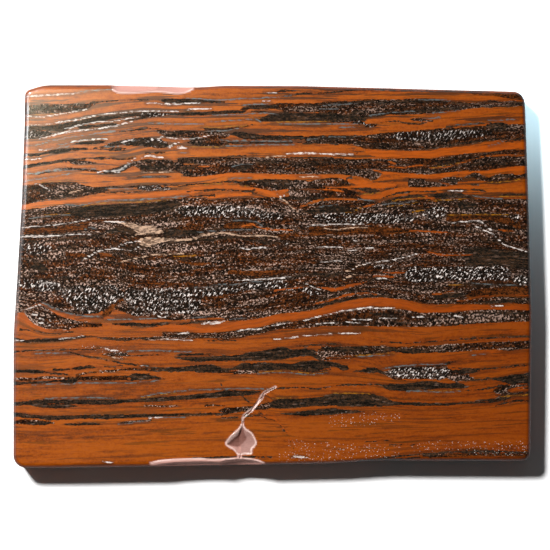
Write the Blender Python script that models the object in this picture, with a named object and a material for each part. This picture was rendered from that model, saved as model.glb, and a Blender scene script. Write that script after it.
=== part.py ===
"""A sawn and polished slab of tiger iron, one piece of banded stone.

The slab lies flat: +X runs along the bedding, +Y across it, +Z up. The origin is the middle of the
underside. Lengths below are millimetres, and MM turns them into metres.
"""

import math

import bmesh
import bpy
from mathutils import Vector

MM = 0.001

# Driving dimensions.
THICKNESS = 12.0
POLISHED_RIM_RADIUS = 1.6
POLISHED_RIM_STEPS = 5
UNDERSIDE_RIM_RADIUS = 1.0
UNDERSIDE_RIM_STEPS = 3

# The outline, anticlockwise from the front left corner: x, y and the radius that rounds that point.
# The four corners have small radii, and the points between them are slow bends in the sides.
SLOW_BEND = 110.0
OUTLINE = (
    (-90.1, -66.6, 4.2),
    (-74.1, -66.6, SLOW_BEND),
    (-4.4, -65.5, SLOW_BEND),
    (20.0, -65.0, SLOW_BEND),
    (35.6, -64.0, SLOW_BEND),
    (79.2, -64.2, SLOW_BEND),
    (89.6, -64.1, 3.0),
    (89.8, -43.1, SLOW_BEND),
    (90.1, -13.1, SLOW_BEND),
    (89.0, 26.6, SLOW_BEND),
    (88.0, 54.5, SLOW_BEND),
    (87.6, 64.2, 4.2),
    (62.1, 64.8, SLOW_BEND),
    (44.3, 65.3, SLOW_BEND),
    (9.5, 66.2, SLOW_BEND),
    (-16.6, 66.3, 56.0),
    (-26.4, 65.7, 56.0),
    (-56.0, 66.5, SLOW_BEND),
    (-79.5, 66.5, 15.0),
    (-86.1, 64.4, 2.4),
    (-86.3, 51.7, SLOW_BEND),
    (-87.2, 26.6, SLOW_BEND),
    (-88.9, -2.0, 56.0),
    (-90.1, -20.4, SLOW_BEND),
)
ARC_STEP_DEGREES = 15.0

# Flakes broken off the polished rim: where each starts, is deepest and ends along X, the side's own
# y there, how far it reaches in over the polished face, and how far it drops down the side.
BACK_FLAKE_LONG = {"start": -56.4, "deepest": -53.0, "end": -36.0, "edge": 66.3, "reach": 2.1, "drop": 3.4}
BACK_FLAKE_SHORT = {"start": -42.0, "deepest": -33.0, "end": -26.0, "edge": 65.9, "reach": 2.0, "drop": 2.8}
FRONT_FLAKE_LONG = {"start": -43.0, "deepest": -24.5, "end": -13.0, "edge": -66.1, "reach": 1.8, "drop": 2.6}
FRONT_FLAKE_SHORT = {"start": -21.0, "deepest": -11.4, "end": -2.0, "edge": -65.9, "reach": 2.4, "drop": 3.2}
FLAKE_OUTSIDE = 1.4  # the scar's centre of curvature lies this far outside the side and above the face

# The drop-shaped pit: its rim on the polished face, anticlockwise from the foot, and the rings inside
# it, each a share of the way from the deepest point out to the rim, at a depth.
PIT_RIM = (
    (-10.9, -62.2),
    (-9.0, -62.2),
    (-7.2, -61.7),
    (-6.8, -60.2),
    (-5.8, -59.0),
    (-5.8, -57.4),
    (-6.7, -55.1),
    (-8.6, -53.5),
    (-10.3, -51.0),
    (-11.4, -53.0),
    (-12.8, -54.4),
    (-14.5, -55.6),
    (-15.8, -57.1),
    (-16.0, -58.6),
    (-14.8, -59.6),
    (-13.3, -60.3),
    (-12.3, -61.2),
)
PIT_DEEPEST = (-11.9, -57.7)
PIT_DEPTH = 1.9
PIT_RINGS = ((0.80, 0.45), (0.42, 1.45))

# Open cracks: points along each, and its half width there.
LONG_CRACK = (
    (-10.3, -51.7, 0.40),
    (-10.1, -48.8, 0.34),
    (-7.1, -46.4, 0.38),
    (-5.6, -44.3, 0.44),
    (-3.9, -42.4, 0.38),
    (-3.0, -40.7, 0.34),
    (-1.6, -39.8, 0.28),
    (1.1, -38.5, 0.10),
)
FOOT_CRACK = (
    (-10.8, -61.5, 0.34),
    (-11.3, -63.1, 0.30),
    (-11.3, -65.0, 0.48),
)
CRACK_DEPTH = 0.6

ABOVE = 1.0  # how far the cutters stand above the polished face


def clear_scene():
    for obj in list(bpy.data.objects):
        bpy.data.objects.remove(obj, do_unlink=True)


def stone_material():
    material = bpy.data.materials.new("tiger_iron")
    material.use_nodes = True
    shader = material.node_tree.nodes["Principled BSDF"]
    shader.inputs["Base Color"].default_value = (0.27, 0.10, 0.03, 1.0)
    shader.inputs["Roughness"].default_value = 0.3
    shader.inputs["Metallic"].default_value = 0.0
    return material


def rounded_corner(before, corner, after, radius):
    """Points of the arc that rounds a corner, from its first tangent point to its last."""
    back = (before - corner).normalized()
    ahead = (after - corner).normalized()
    half_angle = back.angle(ahead) / 2
    tangent = radius / math.tan(half_angle)
    tangent = min(tangent, 0.45 * (before - corner).length, 0.45 * (after - corner).length)
    radius = tangent * math.tan(half_angle)
    centre = corner + (back + ahead).normalized() * radius / math.sin(half_angle)
    first = corner + back * tangent - centre
    turn = first.angle_signed(corner + ahead * tangent - centre)
    steps = max(2, round(abs(math.degrees(turn)) / ARC_STEP_DEGREES))
    points = []
    for i in range(steps + 1):
        angle = -turn * i / steps
        cosine, sine = math.cos(angle), math.sin(angle)
        points.append(
            centre + Vector((first.x * cosine - first.y * sine, first.x * sine + first.y * cosine))
        )
    return points


def outline_points():
    """The outline with each of its points rounded."""
    corners = [Vector((x, y)) for x, y, _ in OUTLINE]
    points = []
    for i, (_, _, radius) in enumerate(OUTLINE):
        points += rounded_corner(corners[i - 1], corners[i], corners[(i + 1) % len(corners)], radius)
    return points


def bounding_middle(points):
    xs = [p.x for p in points]
    ys = [p.y for p in points]
    return Vector(((min(xs) + max(xs)) / 2, (min(ys) + max(ys)) / 2))


def mesh_object(name, bm, material=None):
    bmesh.ops.recalc_face_normals(bm, faces=bm.faces)
    mesh = bpy.data.meshes.new(name)
    bm.to_mesh(mesh)
    bm.free()
    if material:
        mesh.materials.append(material)
    obj = bpy.data.objects.new(name, mesh)
    bpy.context.scene.collection.objects.link(obj)
    return obj


def rim_edges(bm, height):
    """The edges that bound the flat face at this height."""
    flat = [f for f in bm.faces if all(abs(v.co.z - height) < MM * 0.001 for v in f.verts)]
    return [e for e in bm.edges if len(set(e.link_faces) & set(flat)) == 1]


def round_rim(bm, height, radius, steps):
    bmesh.ops.bevel(
        bm,
        geom=rim_edges(bm, height),
        offset=radius * MM,
        offset_type="OFFSET",
        segments=steps,
        profile=0.5,
        affect="EDGES",
    )


def slab_blank(material):
    """The slab before it was chipped: the outline extruded, with both of its rims rounded."""
    points = outline_points()
    middle = bounding_middle(points)
    bm = bmesh.new()
    verts = [bm.verts.new(((p.x - middle.x) * MM, (p.y - middle.y) * MM, 0.0)) for p in points]
    face = bm.faces.new(verts)
    raised = bmesh.ops.extrude_face_region(bm, geom=[face])["geom"]
    top = [v for v in raised if isinstance(v, bmesh.types.BMVert)]
    bmesh.ops.translate(bm, verts=top, vec=(0.0, 0.0, THICKNESS * MM))
    round_rim(bm, THICKNESS * MM, POLISHED_RIM_RADIUS, POLISHED_RIM_STEPS)
    round_rim(bm, 0.0, UNDERSIDE_RIM_RADIUS, UNDERSIDE_RIM_STEPS)
    slab = mesh_object("tiger_iron_slab", bm, material)
    slab.data.shade_smooth()
    slab.data.set_sharp_from_angle(angle=math.radians(40))
    return slab, middle


def carve(slab, cutter):
    """Takes the cutter's shape out of the slab, and hides the cutter."""
    cutter.hide_render = True
    cutter.display_type = "WIRE"
    cut = slab.modifiers.new(cutter.name, "BOOLEAN")
    cut.operation = "DIFFERENCE"
    cut.solver = "EXACT"
    cut.object = cutter


def flake_cutter(name, middle, start, deepest, end, edge, reach, drop):
    """An egg-shaped scar: round across the rim, and longer on one side of its deepest place."""
    outward = math.copysign(1.0, edge)
    across = math.hypot(reach + FLAKE_OUTSIDE, FLAKE_OUTSIDE)
    down = math.hypot(drop + FLAKE_OUTSIDE, FLAKE_OUTSIDE)
    share = math.sqrt(1 - 2 * (FLAKE_OUTSIDE / across) ** 2)
    bm = bmesh.new()
    bmesh.ops.create_icosphere(bm, subdivisions=3, radius=1.0)
    for v in bm.verts:
        length = (deepest - start if v.co.x < 0 else end - deepest) / share
        v.co.x = (deepest - middle.x + v.co.x * length) * MM
        v.co.y = (edge - middle.y + outward * FLAKE_OUTSIDE + v.co.y * across) * MM
        v.co.z = (THICKNESS + FLAKE_OUTSIDE + v.co.z * down) * MM
    return mesh_object(name, bm)


def ring_of(bm, middle, share, z):
    """One ring of the pit, share of the way from its deepest point out to its rim."""
    deep = Vector(PIT_DEEPEST)
    ring = []
    for point in PIT_RIM:
        place = deep.lerp(Vector(point), share) - middle
        ring.append(bm.verts.new((place.x * MM, place.y * MM, z * MM)))
    return ring


def join_rings(bm, upper, lower):
    count = len(upper)
    for i in range(count):
        j = (i + 1) % count
        bm.faces.new((upper[i], upper[j], lower[j], lower[i]))


def pit_cutter(middle):
    bm = bmesh.new()
    rings = [ring_of(bm, middle, 1.0, THICKNESS + ABOVE), ring_of(bm, middle, 1.0, THICKNESS)]
    rings += [ring_of(bm, middle, share, THICKNESS - depth) for share, depth in PIT_RINGS]
    bm.faces.new(rings[0])
    for upper, lower in zip(rings, rings[1:]):
        join_rings(bm, upper, lower)
    deep = Vector(PIT_DEEPEST) - middle
    bottom = bm.verts.new((deep.x * MM, deep.y * MM, (THICKNESS - PIT_DEPTH) * MM))
    last = rings[-1]
    for i, vert in enumerate(last):
        bm.faces.new((vert, last[(i + 1) % len(last)], bottom))
    return mesh_object("pit_cutter", bm)


def crack_cutter(name, middle, route):
    """A V-shaped wedge that follows the crack."""
    bm = bmesh.new()
    widening = 1 + ABOVE / CRACK_DEPTH  # the wedge's sides go on up above the polished face
    sections = []
    for i, (x, y, half_width) in enumerate(route):
        here = Vector((x, y)) - middle
        before = Vector(route[max(i - 1, 0)][:2])
        after = Vector(route[min(i + 1, len(route) - 1)][:2])
        along = (after - before).normalized()
        side = Vector((-along.y, along.x)) * half_width * widening
        left, right = here + side, here - side
        sections.append(
            [
                bm.verts.new((left.x * MM, left.y * MM, (THICKNESS + ABOVE) * MM)),
                bm.verts.new((right.x * MM, right.y * MM, (THICKNESS + ABOVE) * MM)),
                bm.verts.new((here.x * MM, here.y * MM, (THICKNESS - CRACK_DEPTH) * MM)),
            ]
        )
    bm.faces.new(sections[0])
    bm.faces.new(sections[-1])
    for near, far in zip(sections, sections[1:]):
        join_rings(bm, near, far)
    return mesh_object(name, bm)


def build():
    clear_scene()
    slab, middle = slab_blank(stone_material())
    carve(slab, flake_cutter("back_flake_long", middle, **BACK_FLAKE_LONG))
    carve(slab, flake_cutter("back_flake_short", middle, **BACK_FLAKE_SHORT))
    carve(slab, flake_cutter("front_flake_long", middle, **FRONT_FLAKE_LONG))
    carve(slab, flake_cutter("front_flake_short", middle, **FRONT_FLAKE_SHORT))
    carve(slab, crack_cutter("long_crack", middle, LONG_CRACK))
    carve(slab, crack_cutter("foot_crack", middle, FOOT_CRACK))
    carve(slab, pit_cutter(middle))


build()
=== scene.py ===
"""A slab of tiger iron, sawn and polished: its stone and polish, the floor, the lights and the camera.

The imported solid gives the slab's shape. Here its copy gets a fine mesh, the stone's bands are drawn on
that mesh as values at its points, and the stone's material turns the values into colour and gloss.
"""

import math

import bpy
import numpy as np
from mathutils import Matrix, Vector


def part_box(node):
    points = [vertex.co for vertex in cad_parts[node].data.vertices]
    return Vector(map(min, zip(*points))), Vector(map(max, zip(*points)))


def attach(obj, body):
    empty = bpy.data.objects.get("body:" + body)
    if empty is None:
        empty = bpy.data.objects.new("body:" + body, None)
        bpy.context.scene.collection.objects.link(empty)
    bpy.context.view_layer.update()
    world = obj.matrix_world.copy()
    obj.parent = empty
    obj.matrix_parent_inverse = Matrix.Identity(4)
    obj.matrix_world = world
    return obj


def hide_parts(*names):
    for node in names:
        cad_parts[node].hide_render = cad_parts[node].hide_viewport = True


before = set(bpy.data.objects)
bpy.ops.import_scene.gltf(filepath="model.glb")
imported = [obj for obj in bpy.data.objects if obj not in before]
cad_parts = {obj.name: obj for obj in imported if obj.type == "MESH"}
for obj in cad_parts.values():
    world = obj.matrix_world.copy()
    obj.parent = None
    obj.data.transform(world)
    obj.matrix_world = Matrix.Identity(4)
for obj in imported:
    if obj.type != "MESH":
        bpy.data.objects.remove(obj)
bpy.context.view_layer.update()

bl_info = {
    "name": "Tiger iron slab",
    "version": (1, 0, 0),
    "blender": (4, 5, 0),
    "location": "3D View > Sidebar > Stone",
    "description": "Finishes a banded, polished slab of tiger iron and lights it",
    "category": "Object",
}

MM = 0.001
SLAB_NODE = "tiger_iron_slab"
LOWEST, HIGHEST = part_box(SLAB_NODE)
THICKNESS = (HIGHEST.z - LOWEST.z) / MM

# The stone is drawn on a sheet: x runs right, y runs down, and the slab's middle lies at
# SHEET_MIDDLE. One unit of the sheet is SHEET_UNIT millimetres of stone.
SHEET_UNIT = 0.3472
SHEET_MIDDLE = (272.75, 276.4)

# A drawing is read as words. A word without a colon is a kind, and starts a band or a line of that kind.
# The words after it are places along it, most often from left to right:
#   x:top-bottom    both edges of a band
#   x:middle~half   the middle of a line and half its width
#   x:middle~       the middle of a line that is as thin as lines get
#   x:middle        a pointed end
# Where bands overlap, the later one covers the earlier one.

# The dark zone across the middle: one wide brown band, with black and rusty patches in it.
DARK_MIDDLE = """
brown 14:238-300 30:216-300 60:205-300 90:205-302 140:203-316 175:199-317 200:198-322 225:198-320
  250:198-317 275:197-313 300:200-310 330:200-304 350:200-300 380:201-298 400:200-299 430:199-304
  460:199-304 490:199-304 532:199-304
black 466:248-266 480:247-267 500:250-268 532:252-270
rust 22:229-234 40:228-233.5 50:227.5-233 60:227-232.5 70:226-231.5 78:225-229
rust 345:226.5-228 360:225.5-233 375:226-234 390:227.5-234 405:229.5-233 416:231-232
rust 447:215-222 460:214-221 475:214-220 490:214-221 505:216-224 520:221-230
rust 468:291-300 480:289.5-298 500:287-297 530:286-298
rust 225:224-228 235:221-228.5 245:221.5-228 252:225-229
rust 80:223-229.5 84:222.5-231 89:223-229
rust 276:235~0.9 290:234.8~1.2 303:235.5~1.1 315:236~0.7
rust 500:229-232 508:229.5-232.5 515:230.5-231.5
rust 100:253-258 106:253-258 112:254-257
rust 66:252-256 75:253-257 88:254-256
rust 128:286~1 140:283~1.4 160:283~1.2 180:284~1
rust 230:272~2 250:273~2.5 270:273~2.2 285:272~1.2
"""

# The bands behind the dark middle, on the left.
BACK_LEFT = """
brown 27:105-114.3 50:104-113.3 70:103.7-111.8 85:103.2-110 95:102.5-104.5 108:101.5~0.5
black 29:109.5-113.5 33:110-113 36:110.5-112
black 45:108~0.6 52:108~1 60:109~0.7 68:110~
black 66:111.5~ 72:110.8~0.6 80:109.8~0.9 86:107.5~
black 165:98.5-103.3 175:98.3-103 190:98.8-102.7 205:99.3-103 225:101.5-103
black 27:126-132 33:125.5-131 40:125.5-130 50:125.5-131 58:124-131.5 66:123-130.5 72:121.5-127.5
  80:120.5-126 90:118-123.5 100:116.5-121.5 110:115.5-120 120:114.5-118 130:113.5-117 140:112.5-115.5
  150:112-116 165:112.5-115.5 180:112.5-115.5 192:112-115.5 205:111.5-115.5 215:111-114.5 225:110.5-114
  235:110-113.5 245:111-113 260:111-112.5 270:111.5-112.5 276:112
grain 26:130-139.5 35:130-139 45:131-137 50:132-135 56:133
black 28:138-139.5 35:137-138.5 45:135.5-136.5 50:134-135 58:132.5-133.7 64:131.5-132
grain 142:112-118.5 152:112-117.5 162:113-116.5 170:114
black 78:127.5 80:126.5-129 88:125-128 95:124.5-127 103:124-127 110:123-126 116:123-125.5 119:124
black 125:120.7~ 130:120~0.8 137:119~0.8 142:118.2~0.8 147:117.3~
black 119:131.5~0.3 126:130.5-132 133:129.5-131 140:128-130.5 145:127-129 150:128-128.8 158:128.8~0.3
black 72:144.5~0.3 80:142-144.5 88:141-144 95:140.5-144 103:140.5-143 107:141.3~0.3
black 70:148.5~0.4 80:147.5-149 90:147-148.3 100:147-148 110:145.5-147.5 116:145.5~0.4
grain 106:145-146.5 112:142-146 120:140.5-145.5 130:139-144 140:138-142 145:137.5-146 150:137.5-147
  157:138.5-148 163:140-148 168:143-147
black 108:144-146 115:141.5-145 122:141-144.5 130:139.5-141.3 138:138-139.5 146:137.8-139.5
black 122:144.5 126:143.5-146 132:142-145.5 138:141-146 145:140-146 150:140-146.5 160:142-147 168:144-147
  170:146
black 24:153.5-157 30:154-156.5 38:153-156 45:151.5-154.5 55:149.5-154 62:148.5-153 70:148.5-151.5
  80:148.5-150.5 90:149-150 100:148.8-149.8 110:148-149.5 120:147.5-149.5 127:148
black 110:150.5~ 114:150~1 120:150~0.9 126:150~
black 24:168~0.7 30:166.5~0.8 34:165.5~1.1 40:164.3~1.2 50:162.7~0.9 60:161.5~0.9 68:160.8~1.1 75:160~1
  85:159.2~0.9 92:158.5~ 97:158.2~1.2 103:158~1.1 107:158~0.6 115:159~0.7 120:159.6~0.7 127:159~0.6
  133:157.8~0.6 138:156.5~0.7
brown 68:162.5 75:161-164.5 83:160.5-164 90:161-163.5 96:162.5-163.5
black 38:174.5~ 44:172.5~0.7 52:171.5~
black 38:185 43:183.3~0.9 50:183-185 57:182.5-184.8 64:182.2-184.8 70:181.5-184 76:183~0.6
brown 22:186-205 30:185-203.5 40:184.5-201 50:184-199.5 60:184-198.7 70:183.5-198 80:184-197 90:186.5-195
  98:187.5-193.8 105:188-192
black 26:189 30:187.5-190 35:186.5-188 42:186-187
black 22:190.5~1 27:191~0.6
black 52:198.5~ 58:197.8~1 64:197.2~0.9 72:197~0.7 78:196~
black 74:195.5~0.2 80:193.5~0.7 86:191.8~1.1 92:191~1.6 98:190.3~1.6 104:189.3~1.1 108:189.5~
black 98:187.3~ 105:186.8~0.7 112:186.8~0.7 120:187~0.8 130:187~1 140:186~1 150:185.5~0.8 160:185.3~0.8
  170:185~0.7 180:185.5~0.8 190:185~0.8 200:183.7~0.6 210:183.5~0.6 217:183~0.8
black 98:191.5~ 108:193~0.6 115:192.5~0.7 122:191.8~0.8 130:192.3~0.8 138:191.5~0.7 150:191~0.7
  160:190~0.6 170:189.5~0.7 182:188.8~
grain 138:187-189.5 150:186.5-190 160:186.5-189.5 170:187-189
amber 20:205.5-209.5 30:203.5-207.3 40:202-205.3 50:201-204.3 60:200.5-203.7 70:199.5-203.2 80:198-203
  90:197-202 100:196-200.7 110:195.5-200 120:195-199.5 130:194.8-199 140:194-198.5 150:193-198
  160:192.5-196.7 170:191-195.7 180:190.5-194.7 190:190-193.7 200:189.5-192 210:190.3-191
black 90:102.3~ 105:101.3~ 120:100.5~ 135:100~ 150:100~0.6 165:100.3~0.8
brown 100:173 106:170.5-174 115:168-173.5 124:165-171 130:162.5-167 133:160.5
brown 125:166~0.4 133:162-166 145:159.7-172 160:160-172.5 172:162-171.5
black 130:178~ 145:177~ 160:177.2~ 170:177~
brown 55:168.5~0.5 70:167.5-170 85:168.5-171 100:171~0.7
black 190:137-141 200:137.3-146 212:139-146 222:142-145
black 14:167-170 27:164.5-168.5 38:162.8-166 50:161.5-163.8 60:161~0.9 75:161~0.8
"""

# The bands along the back edge, from the middle to the right.
BACK_EDGE = """
brown 240:109-110 245:107-110.5 250:105.5-110 258:105-109.5 268:104.5-109 275:103.5-109 283:103-111
  295:103-112 310:103-112 320:104-112
black 242:109.5 248:107.3~1.4 255:107.3~1.7 262:107~1.6 270:106.5~1.5 277:106~1.2
brown 316:103-121 330:101.5-122 345:101-122.5 355:100.5-122 360:100-120 370:99.5-117.8 380:99.5-116.5
  390:99.5-114.7 400:99.5-115 409:98.5-115 420:98.5-114 430:98.5-113.5 440:99.5-112.3 450:101.5-110.8
  460:102-110 468:102.5-108.8 478:102-107.5 490:101-107.2 505:101-107.2 516:101-106.5 528:102-106
black 258:120.5 262:117.5-121.5 268:115.5-121.5 275:114.5-121.3 283:113.5-120.7 300:114-120.5
  318:114-120.5 323:116-119.5 326:117.5
ochre 250:110~ 262:110.2~0.6 276:112~0.6 290:112.3~0.8 305:112.5~0.7 320:113~
black 350:102~ 357:102~1.1 366:101.9~0.8 374:101.5~
black 376:104.5 379:101.5-105 384:100.8-104.3 390:102
black 392:102.1~ 405:101.8~0.9 418:101~0.9 430:100.6~0.9 440:100.8~0.9 448:101.3~
black 409:111.5~1.6 420:111.3~1.4 430:109.8~1.3 438:109.5~1.3 447:108.8~1.4 455:108.3~1.1 463:107.8~1.1
  469:107~0.7
black 360:119~ 368:116.5~0.8 376:115~0.9 385:113.6~0.9 393:112.3~0.9 400:112.5~0.7 409:110.5~0.8
black 452:102.8~ 459:103.3~0.9 466:104~0.9 473:104.3~0.7 482:104.5~
black 478:102.3~ 486:101.7~0.8 495:101.5~0.9 503:102~0.6 512:103~0.9 524:103.5~0.9
black 480:107 490:107~0.7 500:106.6~0.8 508:105.8~0.7 518:104.9~
black 330:112.5~1.4 338:116~1.5 348:116~1.3 356:112~1.8 364:112.5~1.7
black 268:93 275:92~0.6 283:91.3~0.9 292:90.6~0.6 297:90.3~
black 284:96.3~ 292:95.3~ 300:93.8~0.7 310:93.3~0.7 320:93~0.8 330:92.7~0.8 337:92.2~0.6 345:90.9~0.7
  355:90~0.7 370:89.6~0.7 385:89.3~0.8 400:90~0.7 416:90.5~0.6 430:91~ 450:91.3~0.7 470:91.6~0.8 490:91.8~
rust 470:92-93.5 478:92.5-94.5 490:93-95 500:92.5-97 512:93-99 526:94-99.5
grain 345:121~0.5 355:121-123.7 363:121.5-124.7 367:123.5
grain 363:127 367:124-127.5 373:123.5-127 378:125.5
black 376:123.3~ 384:122.3~0.6 393:121.3~0.7 401:121.2~
black 401:122.3~ 408:123.5~0.8 414:124~0.8 420:124~0.8 426:122.5~ 434:121~
brown 409:119.5 414:118.5-121 421:118-121.5 428:119.5-121.3 434:120.8
brown 155:131 160:130-133.3 165:130.3-136 170:130.8-137 180:130.3-138 190:130.3-137.5 200:130.8-136
  207:131-134 212:130.5-132
black 168:133~1 176:132.5~1.6 186:132~1.4 196:132~1
black 160:131~0.6 163:131~0.8
black 203:128.7~ 212:129.3~0.9 220:129.4~0.9 228:128.8~0.8 236:127.7~0.6 243:126.7~ 249:126~0.6
  254:124.8~0.6
brown 210:131-137 218:131-138 226:133-138 232:133.5
brown 186:142 190:141-143.5 196:140-145.5 203:138.7-145.8 210:136-146 217:136.5-146 222:139-145.7
  226:142.5-145 233:143.3
black 194:142~0.9 202:140.5~1 210:139~1
black 192:143.5~0.8 200:144~1.2 210:144.5~1 220:145~0.7
black 230:134.3 236:131.3-136 242:132-138.7 250:133-139.7 260:134.5-139.7 270:135-139.8 283:135.5-139.7
  295:135.5-139.7 303:135.8-140 308:138
black 222:142.3~ 230:142.6~0.7 238:143~0.9 247:143~0.9 260:142.6~0.8 275:142.6~0.8 290:142.8~0.9
  300:142.6~0.7 305:143.5~
brown 307:136.5-143.5 320:136-144 335:136-144.3 350:136-144 360:135.5-144
black 308:136.7~ 318:136.4~0.8 330:136.1~0.8 345:136.2~0.8 356:136~0.7 366:135.6~0.6 376:134.9~0.7
  386:134~0.7 396:133.3~0.6 404:133.8~0.7
black 318:138.6~ 327:138~1 338:138.6~0.7 350:138.3~0.8 358:138~0.8
black 305:143.7~ 313:143~0.9 321:142.7~0.8 330:143.5~0.6 338:144.5~
brown 355:136.5-146.5 375:134-148 400:131.5-150 420:130.5-150 440:128.5-148 460:127.5-145.5 480:126-142.5
  505:124.5-139.5 528:124-137.5
brown 428:142-147.5 440:141-146 455:139.5-144 470:138-142 485:137.5-140.5 494:138.5
black 485:125.5 490:123.5-128.5 496:122.5-129 503:122.5-129.3 508:124-128.5 511:126
black 368:146.5~ 378:146.7~0.9 392:147~1 405:147.3~0.9 416:148.5~1 425:149~0.9 434:147.8~0.9 444:146.3~0.7
  453:144.8~0.8 461:143.3~0.9 470:142.3~0.9 480:141.3~0.7 490:140~0.7 498:138.7~0.6
black 506:141.5~0.8 513:140.8~1.1 520:139.5~1.2 528:138.5~1
black 446:126.3~ 453:126~0.9 460:125.4~0.6 468:124.6~0.8 478:123.5~0.9 487:123.3~0.8 497:123.6~
black 427:132~0.6 433:131~0.8 438:130~0.6
amber 486:143.5~ 491:143~1.1 496:141.6~1.2 501:140.8~0.8
grain 388:137 395:133-139 410:132-140.5 430:131.5-140 450:130.5-139.5 470:130.5-137.5 485:131-136 493:133
black 353:156~ 358:152.8~0.6 365:149.5~
black 278:91~ 286:90~ 296:91~
black 262:117-119 270:114.3-120.5 300:112.5-121 330:113.5-121 350:115-121 366:116.5-121
"""

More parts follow.
